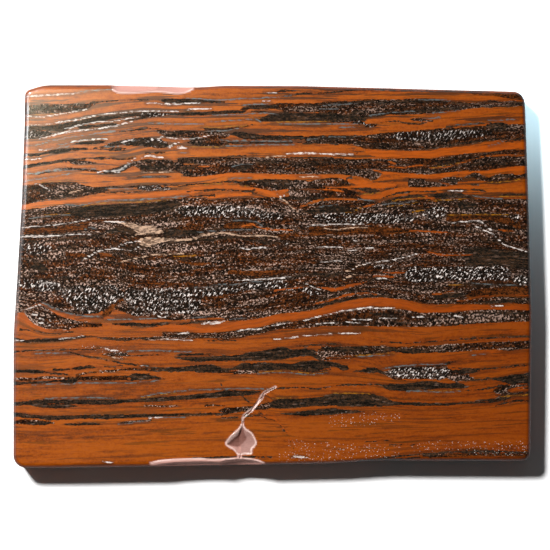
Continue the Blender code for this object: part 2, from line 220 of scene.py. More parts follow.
# The lenses, stripes and threads between those and the dark middle.
UPPER_ORANGE = """
black 144:153.7~ 150:152.9~0.8 158:152.5~0.9 166:153~
brown 140:160.5-171 150:160-171 160:159.5-171 170:160-170 175:162-170 178:165-172
black 140:160.8~0.6 150:160.8~0.6 158:161.3~
black 141:166.5~1.2 150:167.5~1.4 160:167~1.2 168:166.5~1 173:167.5
black 142:169.5~0.7 152:170~0.8 162:169.5~0.7 170:169.3~0.6
brown 178:158-172 190:158-177 205:158.5-176 215:158.5-174.7 225:157.7-173.7 240:157.5-173 255:157.5-174
  270:157.5-174.3 283:157.5-174.3 300:158.5-175 315:159-174.5 330:159-173.5 345:159-175 356:159-176
  366:159-178 376:159-180 385:159-172 395:158.5-172.5 409:158-173.5 420:158-173.7 430:158.5-174
  440:157.3-173.3 450:155.7-172 460:154.8-171 470:153.5-170.7 480:152.8-170.7 492:152-169.5 505:150-167
  528:149.5-165.5
brown 364:145.5-148.5 372:144.7-149 385:145-149.5 400:145.5-149.8 412:145.5-150 425:145-150
amber 366:149.7-153 375:150-156.3 385:150.5-157.3 400:150.7-158 416:151-158 430:150.3-157.3 445:148-155.7
  460:146.8-154.2 475:145.7-152.7 490:144.7-151.7 505:144-149.7 528:142-148.5
black 179:159.3~ 186:158.8~0.8 195:158.3~0.9 204:158.3~0.7 213:158~0.7 222:157.2~ 232:156.4~0.7
  242:155.8~0.8 250:154.8~0.7 257:154.5~
black 176:171 180:168-171.5 186:166.3-169.5 193:166.8-169 199:168
black 180:177 186:175.5~0.9 192:174.3~1.1 198:174.3~0.7
black 231:161.2~ 236:161~0.8 241:161~
black 231:168.5 235:166-169 240:164.8-170 246:164-169 251:165.5-168 254:167.5
black 254:160.5~0.8 262:162.3~1.3 270:161.8~1.5 278:161.3~1.4 286:160.5~1 294:161.5~0.6
black 288:157.5~ 298:157.5~0.7 312:157.6~0.8 322:158~0.9 334:158.2~0.9 344:158.1~0.6
black 276:171.5~0.8 290:171.5~0.7 303:172~
black 305:162~0.8 320:161.6~0.8 335:162.5~0.8 350:163.3~
black 330:170.5~0.6 345:170.2~0.8 360:169.7~0.7
black 186:163.5~ 200:163~ 208:163.8~0.7 214:163
black 432:162.8~ 438:161.5~0.9 444:159.8~0.9 451:157.8~0.8 458:156.5~0.6
black 434:166.3~ 440:165~0.8 447:163.3~0.9 454:161.5~0.7 462:159.8~
black 409:169.5~0.8 420:170.3~0.9 431:170.3~0.7
black 466:166.5~ 474:164.8~0.8 484:163~0.7
black 497:163 501:163.7~0.9 506:164.5~
black 478:154~ 486:153.3~0.8 494:152.3~0.9 502:151.8~0.6
ochre 388:160.5-162 394:162-164 398:163.5
amber 388:166.3~ 394:166.8~0.6 401:167.5~0.7 410:166.7~0.8 418:165.5~0.8 424:165.3~
amber 372:169.5~ 378:171~1 385:172.8~1.3 395:173.8~1.6 405:174.7~1.7 416:175.3~1.8 430:176.5~1.6
  440:175.7~2.1 450:174.2~1.8 460:173~1.5 475:172.2~1.1 490:171.5~1.5 505:169.5~1.9 528:167.7~1.9
ochre 429:168~0.7 440:168~0.7 450:166.3~0.8 458:164.3~0.9 465:161.5~0.9 472:159.5~0.6 482:157.3~0.6
  490:156~0.7 500:155.3~0.7 515:155.5~0.6 527:155.3~
ochre 184:163.7~0.7 192:163.8~0.9 198:164.5~
amber 198:166~ 206:166.5~0.9 213:165.3~0.6 217:164.3~
ochre 95:180-184 105:178-185 120:178-184.7 140:178-184.3 160:178.5-183.7 180:178-184.3 200:176.5-182.7
  215:175-181.7 230:173.5-179.3 245:173.5-177.7 260:174.5-177.2 275:175-178 290:175.5-178.7
  305:176.3-178.7 318:174.5-178 330:173.5-177 340:174-178 352:176-181 360:177-185
brown 300:182-184 317:179.5-185 325:178.5-186 333:177.3-186 341:178-187 348:181.5-187 352:185
black 317:183.5~0.7 323:180.3~0.9 330:178.6~0.9 337:178.5~0.6
black 337:180.6~0.6 343:182.3~0.9 349:184~0.9
amber 340:178~0.4 347:178.5~1.8 355:179-184 362:179.5-186 372:181.7-187.7 382:182.3-188 391:184-188
  397:185.5~0.8 402:184.3~0.3
black 347:178.3~0.9 351:178~1.1 354:179
amber 382:178~ 387:178~0.8 392:178.8~
amber 311:182~ 317:184.5~0.6 324:186.7~0.8 335:187.2~0.6 345:187.3~0.8 356:186.3~1.4 368:186.7~1.5
  380:187~1.2
black 215:183~ 225:181.7~0.9 235:182~1.5 245:182.7~1.7
brown 243:181-185 250:180-187 258:179.5-188 266:179-190 275:179-192 290:179.5-191 300:180-189.5
  310:181-188 318:184-189 330:187.5-189 345:188-190
black 248:181.5~1 258:181~1.2 268:181.5~1.5 280:181~1.3 292:181.3~1.2 303:182.3~0.9
black 262:184.5~1.5 272:186~1.2 284:185.3~1.6 296:184.5~1.2
amber 190:188.5~ 198:187.5~1.3 210:186.7~1.9 222:186.3~1.7 235:187~1.5 245:188.3~1.4 255:189~1.4
  262:190.3~1.4 270:192~1.5 277:194.2~1.5 284:196~1.2
black 205:190~ 214:189.4~ 226:189.1~0.6 237:189.9~0.6 246:191.3~0.6 253:192.5~0.7 260:193.5~
ochre 208:198.5~0.5 214:197-199.5 221:194.3-198.7 230:193.7-197.7 239:193.5-197 247:194.7-196.7 253:195.5
black 181:198~ 187:197.3~0.9 194:196.3~0.7 202:195.5~0.9 210:195~0.9 215:194.7~
black 357:189.5 361:188.7-190.5 366:188.2-192 372:188.5-193 377:189.3-191.7 381:190.5
black 344:189.7~0.6 351:188.5~0.7 358:188.2~0.6 372:188.9~0.6 385:189~0.6 392:188~0.7 399:186.5~
brown 290:190-208 310:190-203 330:190.5-200 350:190-200 360:192-200
ochre 310:192~0.9 316:192~0.9 320:191.8~
amber 318:189.3~0.6 327:189.3~1.1 335:190.2~1.2 342:191.3~0.8 345:192.3~
black 278:197.5 284:197-199.5 292:197-199 303:197.5-199 315:198~0.7 330:197.5~0.8
amber 357:195.5~0.6 364:196~1.6 372:196.7~2.3 380:195.5~2.5 388:193~2.1 396:191.2~1.9 405:190~1.7
  416:189.3~1.5 430:189.2~1.3 445:188.3~1.2 460:188.2~1.1 475:188.7~0.8
ochre 280:201~ 285:203~0.8 290:205.5~0.8 296:208.5~0.6
ochre 297:210~0.7 301:207.3~1 307:204.6~0.9 314:201.8~1 323:199.5~0.8 335:198.6~0.8 348:199.1~0.9
  360:200~0.6
ochre 358:208.5 366:206.5~0.9 374:204.5~0.9 382:201~0.9 390:197.8~1 399:195.5~0.8 409:193.7~0.6
black 383:197.5~ 389:195.3~0.8 397:193.3~0.9 407:192~0.9 418:191.6~0.8 428:191.8~0.6 436:191.5~
black 387:200.5 394:198.7~1 402:197.2~1.3 410:196.3~1.5 418:195.7~1.4 424:196.3~0.6
black 426:194.3 433:193.7-196.7 441:193-198.7 451:192.3-198.3 461:193-198 468:195.3-198.3 474:197.5-200.5
amber 423:194.8~ 428:197.3~0.8 433:200~0.9 437:201.7~
black 443:180.3~ 448:180.3~1.5 454:180~2 459:180.6~1.4 462:181.3~
brown 438:181 443:178.3-184 450:177-185 457:177-185 463:179-184 466:181
black 444:180.2~0.6 449:180.2~1.3 455:180.1~1.7 460:181~1
brown 409:178.3-187 418:178.7-187.3 427:179.5-187.3 436:181.5-187 443:183.5-186.5 450:186
ochre 425:180.5~0.6 433:181~0.9 441:182.3~0.7 452:185.3~0.7 464:186.5~1.2
ochre 458:181-187 464:180.3-187.5 472:179.7-188 482:181.3-188.3 492:182.7-189 505:183-190 520:181-190
  528:179.5-190
brown 462:178.7 467:175.8-178.3 474:172.7-178.3 480:173.5-180 485:176-181.3 489:178-181.5 494:175.3-181.7
  503:173.7-181.3 512:173.7-180.3 519:175-178.7 528:172.5-176
black 466:178.2~0.8 473:175.7~1.4 480:177.2~1.6 485:179.9~1
black 494:177.5~1.2 502:176~1.4 511:176.3~1
black 471:184.3~ 475:184.8~0.9 480:185.5~
black 454:189.4~ 460:189.3~0.8 465:189.4~
black 470:189~ 476:189.6~1 482:190.4~0.9 487:191.3~
ochre 466:190 474:193~1.7 484:194.3~1.8 494:194.3~2.3 500:192 512:191.7~1.4 528:191.3~1.5
black 495:195 501:193.9-195.7 510:193.5-195.7 520:194-195.7 528:194.3-195.7
amber 186:181~0.8 198:179~1.6 210:177~1.6 220:175.7~1.6 230:174.7~1.6 255:175.2~1.8 280:176~1.8
  305:176~1.8 330:176~1.5
black 186:192~ 205:190.3~ 225:190~ 245:191~0.6 256:189.7~
amber 208:197.5~0.6 218:196.8~1.5 230:195.5~1.9 242:194.3~1.4 252:193~0.6
amber 262:192~0.6 270:191-195 280:190-196 290:189~0.5
black 233:167~0.5 238:165.5-170 246:165-170 252:167~0.6
"""

# Rusty, black and amber lines in the dark middle.
MIDDLE_LINES = """
rust 60:221.5~ 75:220.5~0.7 90:220.5~0.8 100:220.2~1 110:219.7~1 120:219.2~1.1 130:217.9~0.9 140:216.7~0.8
  150:215.7~
black 62:216 75:207-216 85:206.3-217 100:205-217.3 115:204-217 130:203.3-216 145:203-215 155:202.5-213
  165:201-211 175:201-208 182:203-205
black 20:243~0.6 30:242~1 40:241.5~1 52:241~0.9 60:240~1 68:239~1 78:238~1 85:237~1.1 92:236.5~0.7
  100:236~
black 30:267.5~0.5 35:263.5-269.5 40:262.5-271.5 45:266-271.5 49:269.5
black 50:278.8~ 60:277.5~1 70:277.8~1 77:278.5~
black 103:231 108:230-233 115:228-233 122:226-232 130:228-233 140:231~0.6
black 163:233~0.6 167:229-237 175:229-237 185:230-236 195:230-235 206:231.5-233 212:232
black 141:248~ 147:247.3~0.8 153:245.7~0.9 160:243.7~0.9 170:242.4~0.9 180:241.9~0.9 191:241.4~0.9
  200:240.3~0.9 211:240~0.9 221:238.7~0.8 232:238.3~0.6
black 238:238.3~ 248:240~0.8 260:241~0.9 268:242.7~0.9 276:243.3~0.6
black 176:260~ 183:259.3~0.7 191:259~0.7 201:258.7~
black 300:211.5 315:211.5~2 330:211.5~2.3 345:211.5~1.8 352:212
black 317:207.2 324:205.2-211.2 335:205.9-211.2 345:206.2-210.7 351:208.2
black 456:202 460:202-208.5 468:202.3-209 475:203-208 479:205
black 468:231.6~ 475:231.7~0.7 482:232~
black 498:230.3~ 505:232.7~0.8 512:234.2~0.8 521:233.7~0.6 528:233.4~
black 352:241.7~ 358:242.5~0.7 367:243.3~0.9 377:244.2~0.6
black 272:280.4~ 280:279.6~0.9 288:278.8~0.9 296:277.6~0.9 301:275.8~0.8 308:273.6~0.8 319:274.5~0.8
  330:276.1~0.8 340:274~0.8 348:272.8~
rust 178:260.7~0.6 186:262.5~1.2 196:264~1.5 205:263.7~1.1 210:262~0.6
amber 382:272.3~ 390:272.8~0.8 398:272.8~0.8 406:272.4~0.8 415:271.3~
amber 373:275.8~ 380:276.2~0.9 388:276.3~0.9 396:277~0.6
amber 240:227.3~ 246:225.3~0.8 253:224.6~0.8 258:226.7~0.6
amber 258:227.7~ 268:229.2~0.8 283:229.7~0.7 294:229.3~
amber 410:230.7~0.7 425:231.3~0.8 440:232.3~0.8 450:232.5~
amber 498:229.7~ 506:230.6~0.8 513:230.5~
amber 428:251.7~ 434:253.3~0.8 441:254.8~0.8 449:255.2~0.7 460:255.2~0.6 472:255~
black 312:209~0.5 320:207.3-211 335:207.3-211 346:208-211 350:209.5
rust 278:236~ 290:235.7~0.8 300:236~
rust 310:226.5-235 330:226.3-235 350:227-234.5 366:228-234
black 186:242~ 200:239.7~0.8 215:238.5~0.9 235:237.3~0.8 250:240~0.9 270:244.7~0.6
black 262:281~ 275:279.7~0.6 285:279~0.8 300:275~0.9 315:273.3~0.9 335:274~0.8 350:272.5~
brown 345:271-277 349:269.5-278.5 353:271-277
brown 14:210-226.5 22:209.5-226 35:208.3-225.5 50:207.5-224.5 62:207-222.5
"""

# The lenses of pale crystal in the dark middle and at its foot.
CRYSTAL_LENSES = """
grain 176:210 182:206.5-215 195:206-216.5 210:205.5-217 225:205.5-217 240:206-217 255:208-216 267:212
grain 256:213.5 262:212.3-219 273:212-220 284:213.5-218
grain 312:216 320:213.5-221.5 335:213.3-222.7 355:213.3-223 375:213.3-223 395:213.5-223 410:214-222
  420:216
grain 422:214 426:210.5-217.5 432:207-219 440:206.5-217 447:210-214.5
grain 511:217 514:214.3-221.5 519:215-221
grain 20:243-247 30:244-255 42:244-253 52:246-250
grain 374:266.5 380:264.7-268.5 388:264.8-268.3 393:266
grain 404:275 410:268-282 425:267.7-282 440:267-281 455:266.7-280.3 470:266.7-280 485:266.5-280
  500:266-280 508:268-280 511:274
grain 512:280 516:275.5-284 523:275-285 530:277-284
grain 10:283-290 20:280-291.5 35:280-292 50:281-291 60:284-289.5
grain 58:294 61:290.5-297 66:288-308 72:286-311.3 80:285.7-314 88:286-314 95:287.7-314 103:286-311
  110:285-307 117:286.7-302 122:291.5-297.5 124:294.5
grain 124:296 126:291-301 130:288.7-312 140:288-316 150:288.7-314 160:288.7-316 170:288-314.3
  180:289.7-313.3 190:287-312.3 198:288-312 203:290-296 205:293
grain 178:311 186:309-314.3 196:309.3-314 204:311.5
grain 203:292 206:287.7-296 212:287-296.3 220:286-295.3 228:286.7-293.5 236:286-292.5 245:284-290.5
  255:283-289.3 265:281-289.3 275:280.7-289 285:281-287.3 290:284
grain 281:292.5 287:288.7-297.3 297:288-298 310:288.3-297 318:291.5-295 322:293
"""

# Black threads inside the two big lenses of crystal.
CRYSTAL_LENS_THREADS = """
black 129:313.5~ 133:310.5~0.9 138:305~0.9
black 136:312.7~ 140:308.3~0.9 145:302~0.7
black 142:311.7~ 146:307.3~0.8 150:303~
black 88:309.5~ 95:310~1 101:308.3~0.8
black 70:299~ 78:302~1.2 85:301~0.8
black 97:290~ 104:291.5~1.2 111:290~0.7
black 154:293~ 160:295.7~1.3 167:294~0.7
"""

# Where the dark middle gives way to the orange in front of it, on the left.
MIDDLE_FOOT_LEFT = """
brown 52:331~ 60:331~0.6 70:330.6~
amber 18:312.5-316.5 24:313-320.5 30:318.5-325.3 37:323-328.3 45:328-331.3 52:331.3~0.4
ochre 14:317-336 22:321.5-338 30:326.5-338.5 38:329-338.3 48:332-338 60:333-337.5 75:331.5-336
  90:325-335.5 100:323.5-336 112:325-337 125:327-337.5 143:328.5-337 163:330-337
brown 24:311.5 28:309.5-318 34:307-323.7 40:305-326.3 46:307-328.7 52:311.7-329.3 58:315-329.3
  65:318-328.8 72:320.7-328 80:321.3-327 88:322.3-325 93:323.3
amber 29:307.5~ 35:305.7~0.7 41:302.3~0.7 44:301~
amber 43:304.7~ 47:306.7~1.1 53:310.2~1.5 59:313.7~1.7 66:316.5~1.8 74:318.3~1.8 82:319.3~1.7 91:319.8~1.6
  100:320.3~1.6 108:318.6~2.6 116:320.7~1.6 125:321.7~1.4 135:322~1.3 143:322~1.1
rust 101:321.5~0.6 104:315.7~2 108:311.7~3.3 112:307~2.5 117:302.7~1.8 122:299.3~1.5 127:295.5~1
ochre 62:316.3-317.8 75:318.8-319.5 95:320.3-322.3 110:319.3-322.8 125:320.8-323.3 143:321.3-322.8
  160:321.3-322.5 175:320.6-322.1 187:319.3-321.3 200:318.3-320.5 214:317.5-319.5 224:317.5-319.8
brown 105:337.3~ 120:338.6~1 140:338.7~1.3 163:338.3~2
black 113:324~0.5 121:323-325.7 130:322-326 140:323-327 150:323.5-327 160:323-326.3 168:322-325 176:321.8
ochre 14:332.5-334.5 25:332.5-336.5 40:332.5-336.5
black 20:329.5~ 28:330~0.6 38:331.5~0.6 46:333~0.7 55:333.6~0.7 64:333~0.6 74:332~
black 12:336.5~0.6 22:339.5-342 35:339-342.5 50:338.5-342 60:338-341.5 70:337.5-339.7 80:336-338.5
  92:336.8~0.8 105:338~0.7 120:338.8~0.7 135:338.5~0.6 150:338.3~0.6 163:338~0.8
black 55:289~ 62:288.7~0.9 70:287.3~1 78:285.6~0.8 86:285.7~
brown 14:286-313 20:286-312.5 25:288-309 32:290-305.5 38:292-303.5 42:294-302.3
brown 42:294-302.5 50:294-306 58:295-310 66:300-313 74:307-314.5 82:311-316
ochre 43:303-305 50:306.5-309 58:311-313.5 66:314-316.5 76:316.5-319 90:318-321 104:319.5-322
brown 49:312-326 58:315-329 66:318-329 76:320.5-328 88:322.5-327.3 102:323.5-326.5
"""

# The same, from the middle to the right.
MIDDLE_FOOT_RIGHT = """
brown 150:317 163:315-319 180:314-321 195:312.7-320.3 210:304-318.7 222:298-319.7 232:293-321 245:291-320
  258:289.5-318.7 270:289.5-316 285:290-313 300:290-311.5 315:297-309.5 325:298-306.5
ochre 158:321.7~0.6 170:321.6~0.8 180:321.2~0.7 190:320~0.7 203:319.3~0.7 212:318.5~0.8 222:318.7~0.8
  226:320~
black 158:324.6~ 165:324.2~0.9 172:323.8~0.9 180:324~1 190:323.3~1.1 200:322~0.8 208:320.3~0.6 216:319.8~
ochre 150:328~1 163:326.7~1.5 175:326~1.7 188:326.7~1.5 200:327.7~1.2 211:327.5~1 220:325~1
amber 136:329.3~0.5 150:327.7-330.3 163:326.3-330.3 175:325.7-330.3 188:326.3-331 200:327.7-332.3
  212:326.7-332 220:324.7-331.7 228:322.7-330.7 236:321.3-329.3 245:320.3-328.5 255:319-327.3
  265:317.3-325.5 276:315-321.7 285:313.3-320.7 295:312.3-320 305:311.7-319 315:310-317.5 325:307.5-315.3
  335:305-313 345:302.3-310.2 355:300.3-308.7 365:298.8-306.7 375:298.2-306 385:297.3-306 395:299.7-306.2
  405:301.5-306.7 416:306-310.2 424:307-312.2 435:307.3-312.3 447:307.2-312.2 460:305.3-310.5
  470:304.7-310 480:304.7-309.2 490:305.7-309.2 500:306.3-310 515:305.7-309.7 530:306.7-310.2
brown 163:331.5-338.3 172:332-338.3 188:332.3-338.3 200:333-338.3 212:332.7-338.7 222:332-339.3
  232:330.7-339 242:329.7-337.5 252:328.5-335 262:327-333.7 270:324.5-331.5 280:322-329.3 292:321-329
  305:319.7-328 320:317.3-326.5 335:314-326 350:310.7-326 365:308.5-326 380:308.5-326.5 395:309-326.5
  408:309.5-326.8 422:313-326.8 436:312.7-326 450:312.5-326 465:311-324.5 478:310-324 490:309.5-323
  505:310-322.3 530:310.5-321
black 388:310~ 394:310.6~0.9 400:311.5~0.6
black 370:313.1~0.8 377:314.3~1 386:314.8~0.9 394:316.1~0.8 402:318.8~0.8
black 395:323~ 402:323.1~1 412:323.8~0.6
black 446:326~ 453:325~0.9 461:323.6~0.9 470:323.3~0.8 479:322.8~0.8 490:322~0.6 502:321.5~
black 470:313.5~ 480:313.2~0.8 495:313.1~0.7 510:313.4~0.8 526:313.1~1
black 244:333.2~ 256:332.2~0.9 268:329.7~0.7
black 205:340.5~0.6 220:340.7~0.7 236:340.5~
amber 274:290.5~ 280:289.7~1 288:289~0.8 296:288~0.7 307:286~
amber 316:287.7~ 322:287.7~0.9 329:289~1.7 337:289.2~1.6 344:287.7~1.7 351:285.3~1.3 359:284~1 367:281.7~
amber 313:304.3~ 320:302.7~0.7 329:300.7~0.8 337:298.3~1 345:295.7~1 353:294~0.9 357:293.5~
ochre 359:293.8~ 365:293.3~0.7 371:293.4~0.6 377:294.7~
black 298:311.3~ 306:310~0.9 314:307.7~1.2 322:305.3~1.3 331:303.3~1.4 340:301.2~1.4 350:299~1.3
  360:297.5~1.2 371:296.8~1 382:296.2~0.9 392:297~
black 314:302~ 322:300~0.8 330:297.4~0.8 338:294.9~0.8 346:292~0.8 353:290~
ochre 431:294.5~ 437:293.8~0.9 444:293~0.8 451:292~0.6 458:291~
black 431:297.5 436:295.3-299 443:294-298.7 452:293.3-298 461:292.7-297 468:294.3
ochre 457:301.3~ 464:300.4~0.8 472:298.5~0.8 481:297~0.8 491:296.2~0.7 507:295.1~0.7 522:295.5~0.6
  531:295.8~
black 474:303.3~0.5 482:302~0.9 491:300.7-303.7 500:299.7-303.5 510:298.7-302.5 520:299-302 531:300-301.5
ochre 497:305~ 503:304.5~0.9 511:303.5~1 519:304.6~0.6
"""

# Long lines in the wide orange zone in front of that.
WIDE_ORANGE_LINES = """
black 405:344.3~ 412:343.3~0.9 422:342.2~0.8 432:341.7~0.6 445:340.9~0.6 458:339.8~0.7 470:338.9~0.8
  482:338.2~0.8 500:337.6~0.8 520:336.7~0.8 531:336.3~
black 296:346.3~ 308:345.5~0.6 320:344.9~0.7 335:344.3~0.8 346:345.3~
black 380:341.8~ 390:342.2~0.7 400:342.9~0.7 412:343.6~
ochre 405:346~0.7 420:345~0.9 435:344.5~0.8 448:343.5~0.8 462:342~0.9 478:341~0.8 505:340.3~0.8
  530:339.3~0.6
brown 385:349.5 393:347.5-351.5 405:346.8-353.5 418:346.5-353.3 432:346-353 450:343.7-352 470:343-351
  490:342-349.5 510:341.7-350 531:340-348
black 395:349.5 403:348.5-353.5 412:348.5-353.3 424:349.5-352.5 434:350.5
black 14:351.7~0.8 22:351.3~0.8 32:350.5~0.7 45:350.6~0.7 65:350~0.7 80:349.7~0.7 92:349.3~0.7 101:348.4~
black 64:351.5~ 71:352.2~0.7 79:354.7~0.7 86:355.9~0.7 93:357.2~0.7 101:358.7~0.7 113:361~0.6
  121:362.6~0.6 130:364.2~ 138:365.7~
brown 101:354.7 108:353.5-356.3 117:352.5-356.7 125:352.5-355.3 131:353.7
black 126:355.5~ 135:355.8~0.6 150:355~0.7 163:354.7~
black 139:367.5~ 148:368.2~0.8 158:368.5~0.9 168:368.6~0.8 179:368.7~0.7
black 14:369.5-372.3 25:369.5-373 35:369.5-373.5 43:370.5-373.3 50:372.3
black 53:369.7~0.7 62:369.8~0.8 70:369.3~0.8 76:368.4~1.1 82:367.8~1.4 88:366.3~1 92:366.3~
black 48:374.7~ 55:373.7~0.9 62:374.1~0.9 69:374.8~
brown 14:377.5-380 25:378-381 35:377.5-380.5 45:376.5-379 58:376.7-378.7 70:377-379 80:376.7-378
black 14:381-385 25:382-384.5 35:382-384 45:381-383.5 55:379.5-382 65:379.5-383 70:379-384 77:378-381.5
  82:378
black 129:380.2~0.4 136:378.5~0.9 143:376.8-378.5 150:375.5-378.2 157:376-378.5 164:379
black 128:381~ 136:379.6~0.8 144:378.6~0.9 157:378.6~0.7 165:379~
black 120:369.5~ 130:369.6~0.6 143:370~1 153:371~1 163:370.7~
black 14:402-405.3 25:401.5-405.5 35:400-405 45:399.5-404.3 70:399.5-404.3 85:399.5-404.7 100:399.5-405
  112:399.5-404.7 120:399.5-403.7 130:399.5-402.5 140:398.5-402 150:398-402 158:397-401.5 168:396.5-401
  178:396-400 190:395-399.5 200:393.5-398.5 212:392.5-397.7 225:390.5-397 235:390.5-396.5 245:390.5-395.5
  255:390.7-394 264:391.5
black 28:403.5 37:404.5-407 45:404.5-408.3 55:404.3-408.5 65:404.5-408.5 73:405-407.3 81:405.7
black 219:378~ 221:384~0.6 223.5:389~
"""

# The dark lenses of the wide orange zone.
WIDE_ORANGE_LENSES = """
black 174:357~0.5 178:354.5-358.5 188:353.3-361 200:353.3-361.7 212:353.7-361.3 222:355-361.3
  232:355.3-360.7 241:354-361 250:352.3-360.3 260:351-360.7 270:349.3-360.3 283:347.3-359.3
  291:349.3-357.7 300:349.3-356.7 310:348.7-355.7 316:350-354
black 162:370 166:368-371.7 175:367-371.5 185:366.5-371.3 193:365.3-371.3 200:364.7-373.3 210:364.5-373.3
  217:366-373 224:368.3-371 231:368.3-370.7 237:366-370 243:362.5-370.3 252:363.3-370.7 261:362.7-370.7
  270:362.7-370.7 283:363.3-369.3 292:363.7-370.7 300:361.7-370.3 308:360.7-371 316:360.5-371
  323:360.7-369.5 330:361.7-366.7 338:363.3-367.7 343:364.7-371 349:366-370
brown 213:373~0.8 222:371.3-374.7 232:371-374.7 243:370.7-374 258:370.7-373.3
black 311:355.7 315:353.7-358 321:355.7-360 325:358
black 259:406~0.5 264:404.3-407.7 270:402.5-408.3 277:399.3-409 290:398.7-408.3 300:398.7-407.3
  310:397.7-406.7 320:397-406.3 327:395-406 335:393.3-405.7 345:393.7-406.3 365:393.7-406.7
  375:394.3-406.3 383:396.3-406.3 391:400.5-405.7 405:402-405.3 420:402.7-405.7 435:403.3-406
  445:403.3-405.7 455:402.7-404.9 465:402.2-404.2 475:401.7-403.7 485:401.3-403.2 493:399.7-402.7
  500:397.7-401.3 507:396.3-400 512:397.5
black 280:414 290:412.7-415.3 302:411.3-416.2 312:410.3-415.7 322:408.8-415.2 332:408.3-414.7
  342:409.3-413.7 352:410.3-413.2 362:410.8-412.2 377:411
brown 218:411 224:408.3-413.7 231:407.3-413.7 239:407.3-412 246:406.7-410.3 253:406.3-409
black 224:411.7~0.7 232:411.7~1.3 240:410.3~0.9
black 300:371~ 308:371.5~0.7 316:371.6~0.8 324:370.7~0.6 331:369.3~
brown 317:352 322:347.5-359 335:346.7-359.3 350:346.3-358.7 360:346.7-356 375:345.7-354 385:345.7-352.7
  393:347-351
black 322:348.5 332:347-351 345:346.7-352 358:346.3-351 370:345.7-348.5
ochre 325:358~ 340:357.2~0.8 352:356.5~
black 354:371.3~0.3 360:371~1.1 366:370.3~2.3 372:370.3~2.6 378:370.5~2.3 383:372.7~1.5 388:371-376
  395:370.3-378.7 401:369.7-380.3 405:372-381 409:380
black 381:350 387:346.8-352.3 393:347.3-351.3 398:350
brown 385:374 392:368-378.7 400:367-380.3 412:366.3-380 430:365.7-380 447:366.5-378 454:373
grain 388:374 391:371.3-375.7 396:369-377 403:368-378 415:367.5-378.7 430:367.7-378.5 441:368.3-378.3
  449:369.5-376.7 453:373
black 382:386.3 387:384.3-389.3 394:383.8-391 403:384-391.3 412:382.7-391.3 420:381.3-389.7
  430:380.7-389.7 440:382.7-388.7 451:383.3-388.7 460:382.7-388.3 466:385.3-388 470:386.7
black 342:384.8~ 350:384.5~0.7 362:384.5~0.8 375:384.6~0.7 385:385~0.6
black 274:388.5~ 283:388.1~0.7 292:387.5~0.6 302:387.6~0.6 311:387.9~
black 313:388.9~ 320:388.4~0.7 328:387~0.7 336:385.9~0.6 344:385.3~
brown 144:405.5~ 155:405.8~0.7 167:406.4~0.6 180:406.3~
brown 205:405.3~ 216:405.4~0.8 226:406~
black 87:368~ 95:367.6~0.6 104:367.1~0.6 113:366.5~ 122:365.6~
brown 76:375~ 86:373.6~0.7 94:372.5~0.8 103:371.5~0.8 113:370.6~0.9 124:369.7~1 135:369~1.2 147:368.5~1
brown 77:376.5-380 90:376.3-380.5 100:376-380.5 112:375.8-380.5 127:375.5-380
black 127:377 133:373.8-379 142:373.5-379.5 150:374-379
black 70:368.5 74:367-370 80:366.3-370 86:367
black 70:352.3~ 83:356~ 100:358.3~ 115:362~ 135:364.3~ 150:366~
black 107:353.5~0.5 116:353-355 127:354~0.5
black 103:339.3~ 118:340~0.6 135:339.5~0.6 150:338~
"""

# The right end of the wide orange zone.
WIDE_ORANGE_RIGHT = """
amber 402:379.5~ 412:379.8~1 422:379.6~0.9 430:379~
black 496:352.3~ 503:351.8~0.8 512:350.3~0.7 522:348.6~0.8 531:347.4~0.7
black 443:363.8 447:362.3-365.2 451:361.5-364 456:360.7-362.5 460:360.3
black 453:368~ 460:368.1~0.8 468:368.7~0.9 477:369.3~0.8 488:368.8~0.8 498:367.8~0.8 509:366.7~0.8
  520:365.6~1 531:364.5~1
black 447:371.3 454:370-374 462:369.3-374.3 470:370.3-373.3 477:369.3-372.3 483:369.7
brown 446:376 452:373.3-380.7 462:374-381 472:375.7-380.3
black 452:380.2~ 460:380.1~0.8 470:380.3~0.8 480:379.8~0.8 489:378.7~0.9
black 488:378.7 495:377.7-380.3 503:376.7-382 510:375-384.3 517:374-384.3 524:373.3-384 531:372-384.5
black 466:390.5~ 475:390.3~0.8 484:389~0.9 492:387.2~0.9 500:385.6~0.9 508:384.3~0.7
brown 492:391.5 500:386.7-394.3 508:385-393.3 516:384.7-389.3 531:384.5-389.3
black 496:395.3~0.6 505:394.6~1 514:393.5~1.2 522:392.7~1.2 531:392.3~1.3
black 476:401~ 484:400.3~0.8 492:399.7~0.9 499:398.7~1 507:396.7~0.7
black 495:405.7~0.6 502:404.3~0.9 509:402.3~0.9 516:400.9~1.1 524:400.5~1.2 531:400.4~1.2
amber 465:358~ 471:355.3~0.7 478:353.2~0.8 487:351.9~0.9 497:352~0.7 504:351.3~
amber 507:391~ 513:389.2~1 520:387.5~0.9 528:386.3~0.7
"""

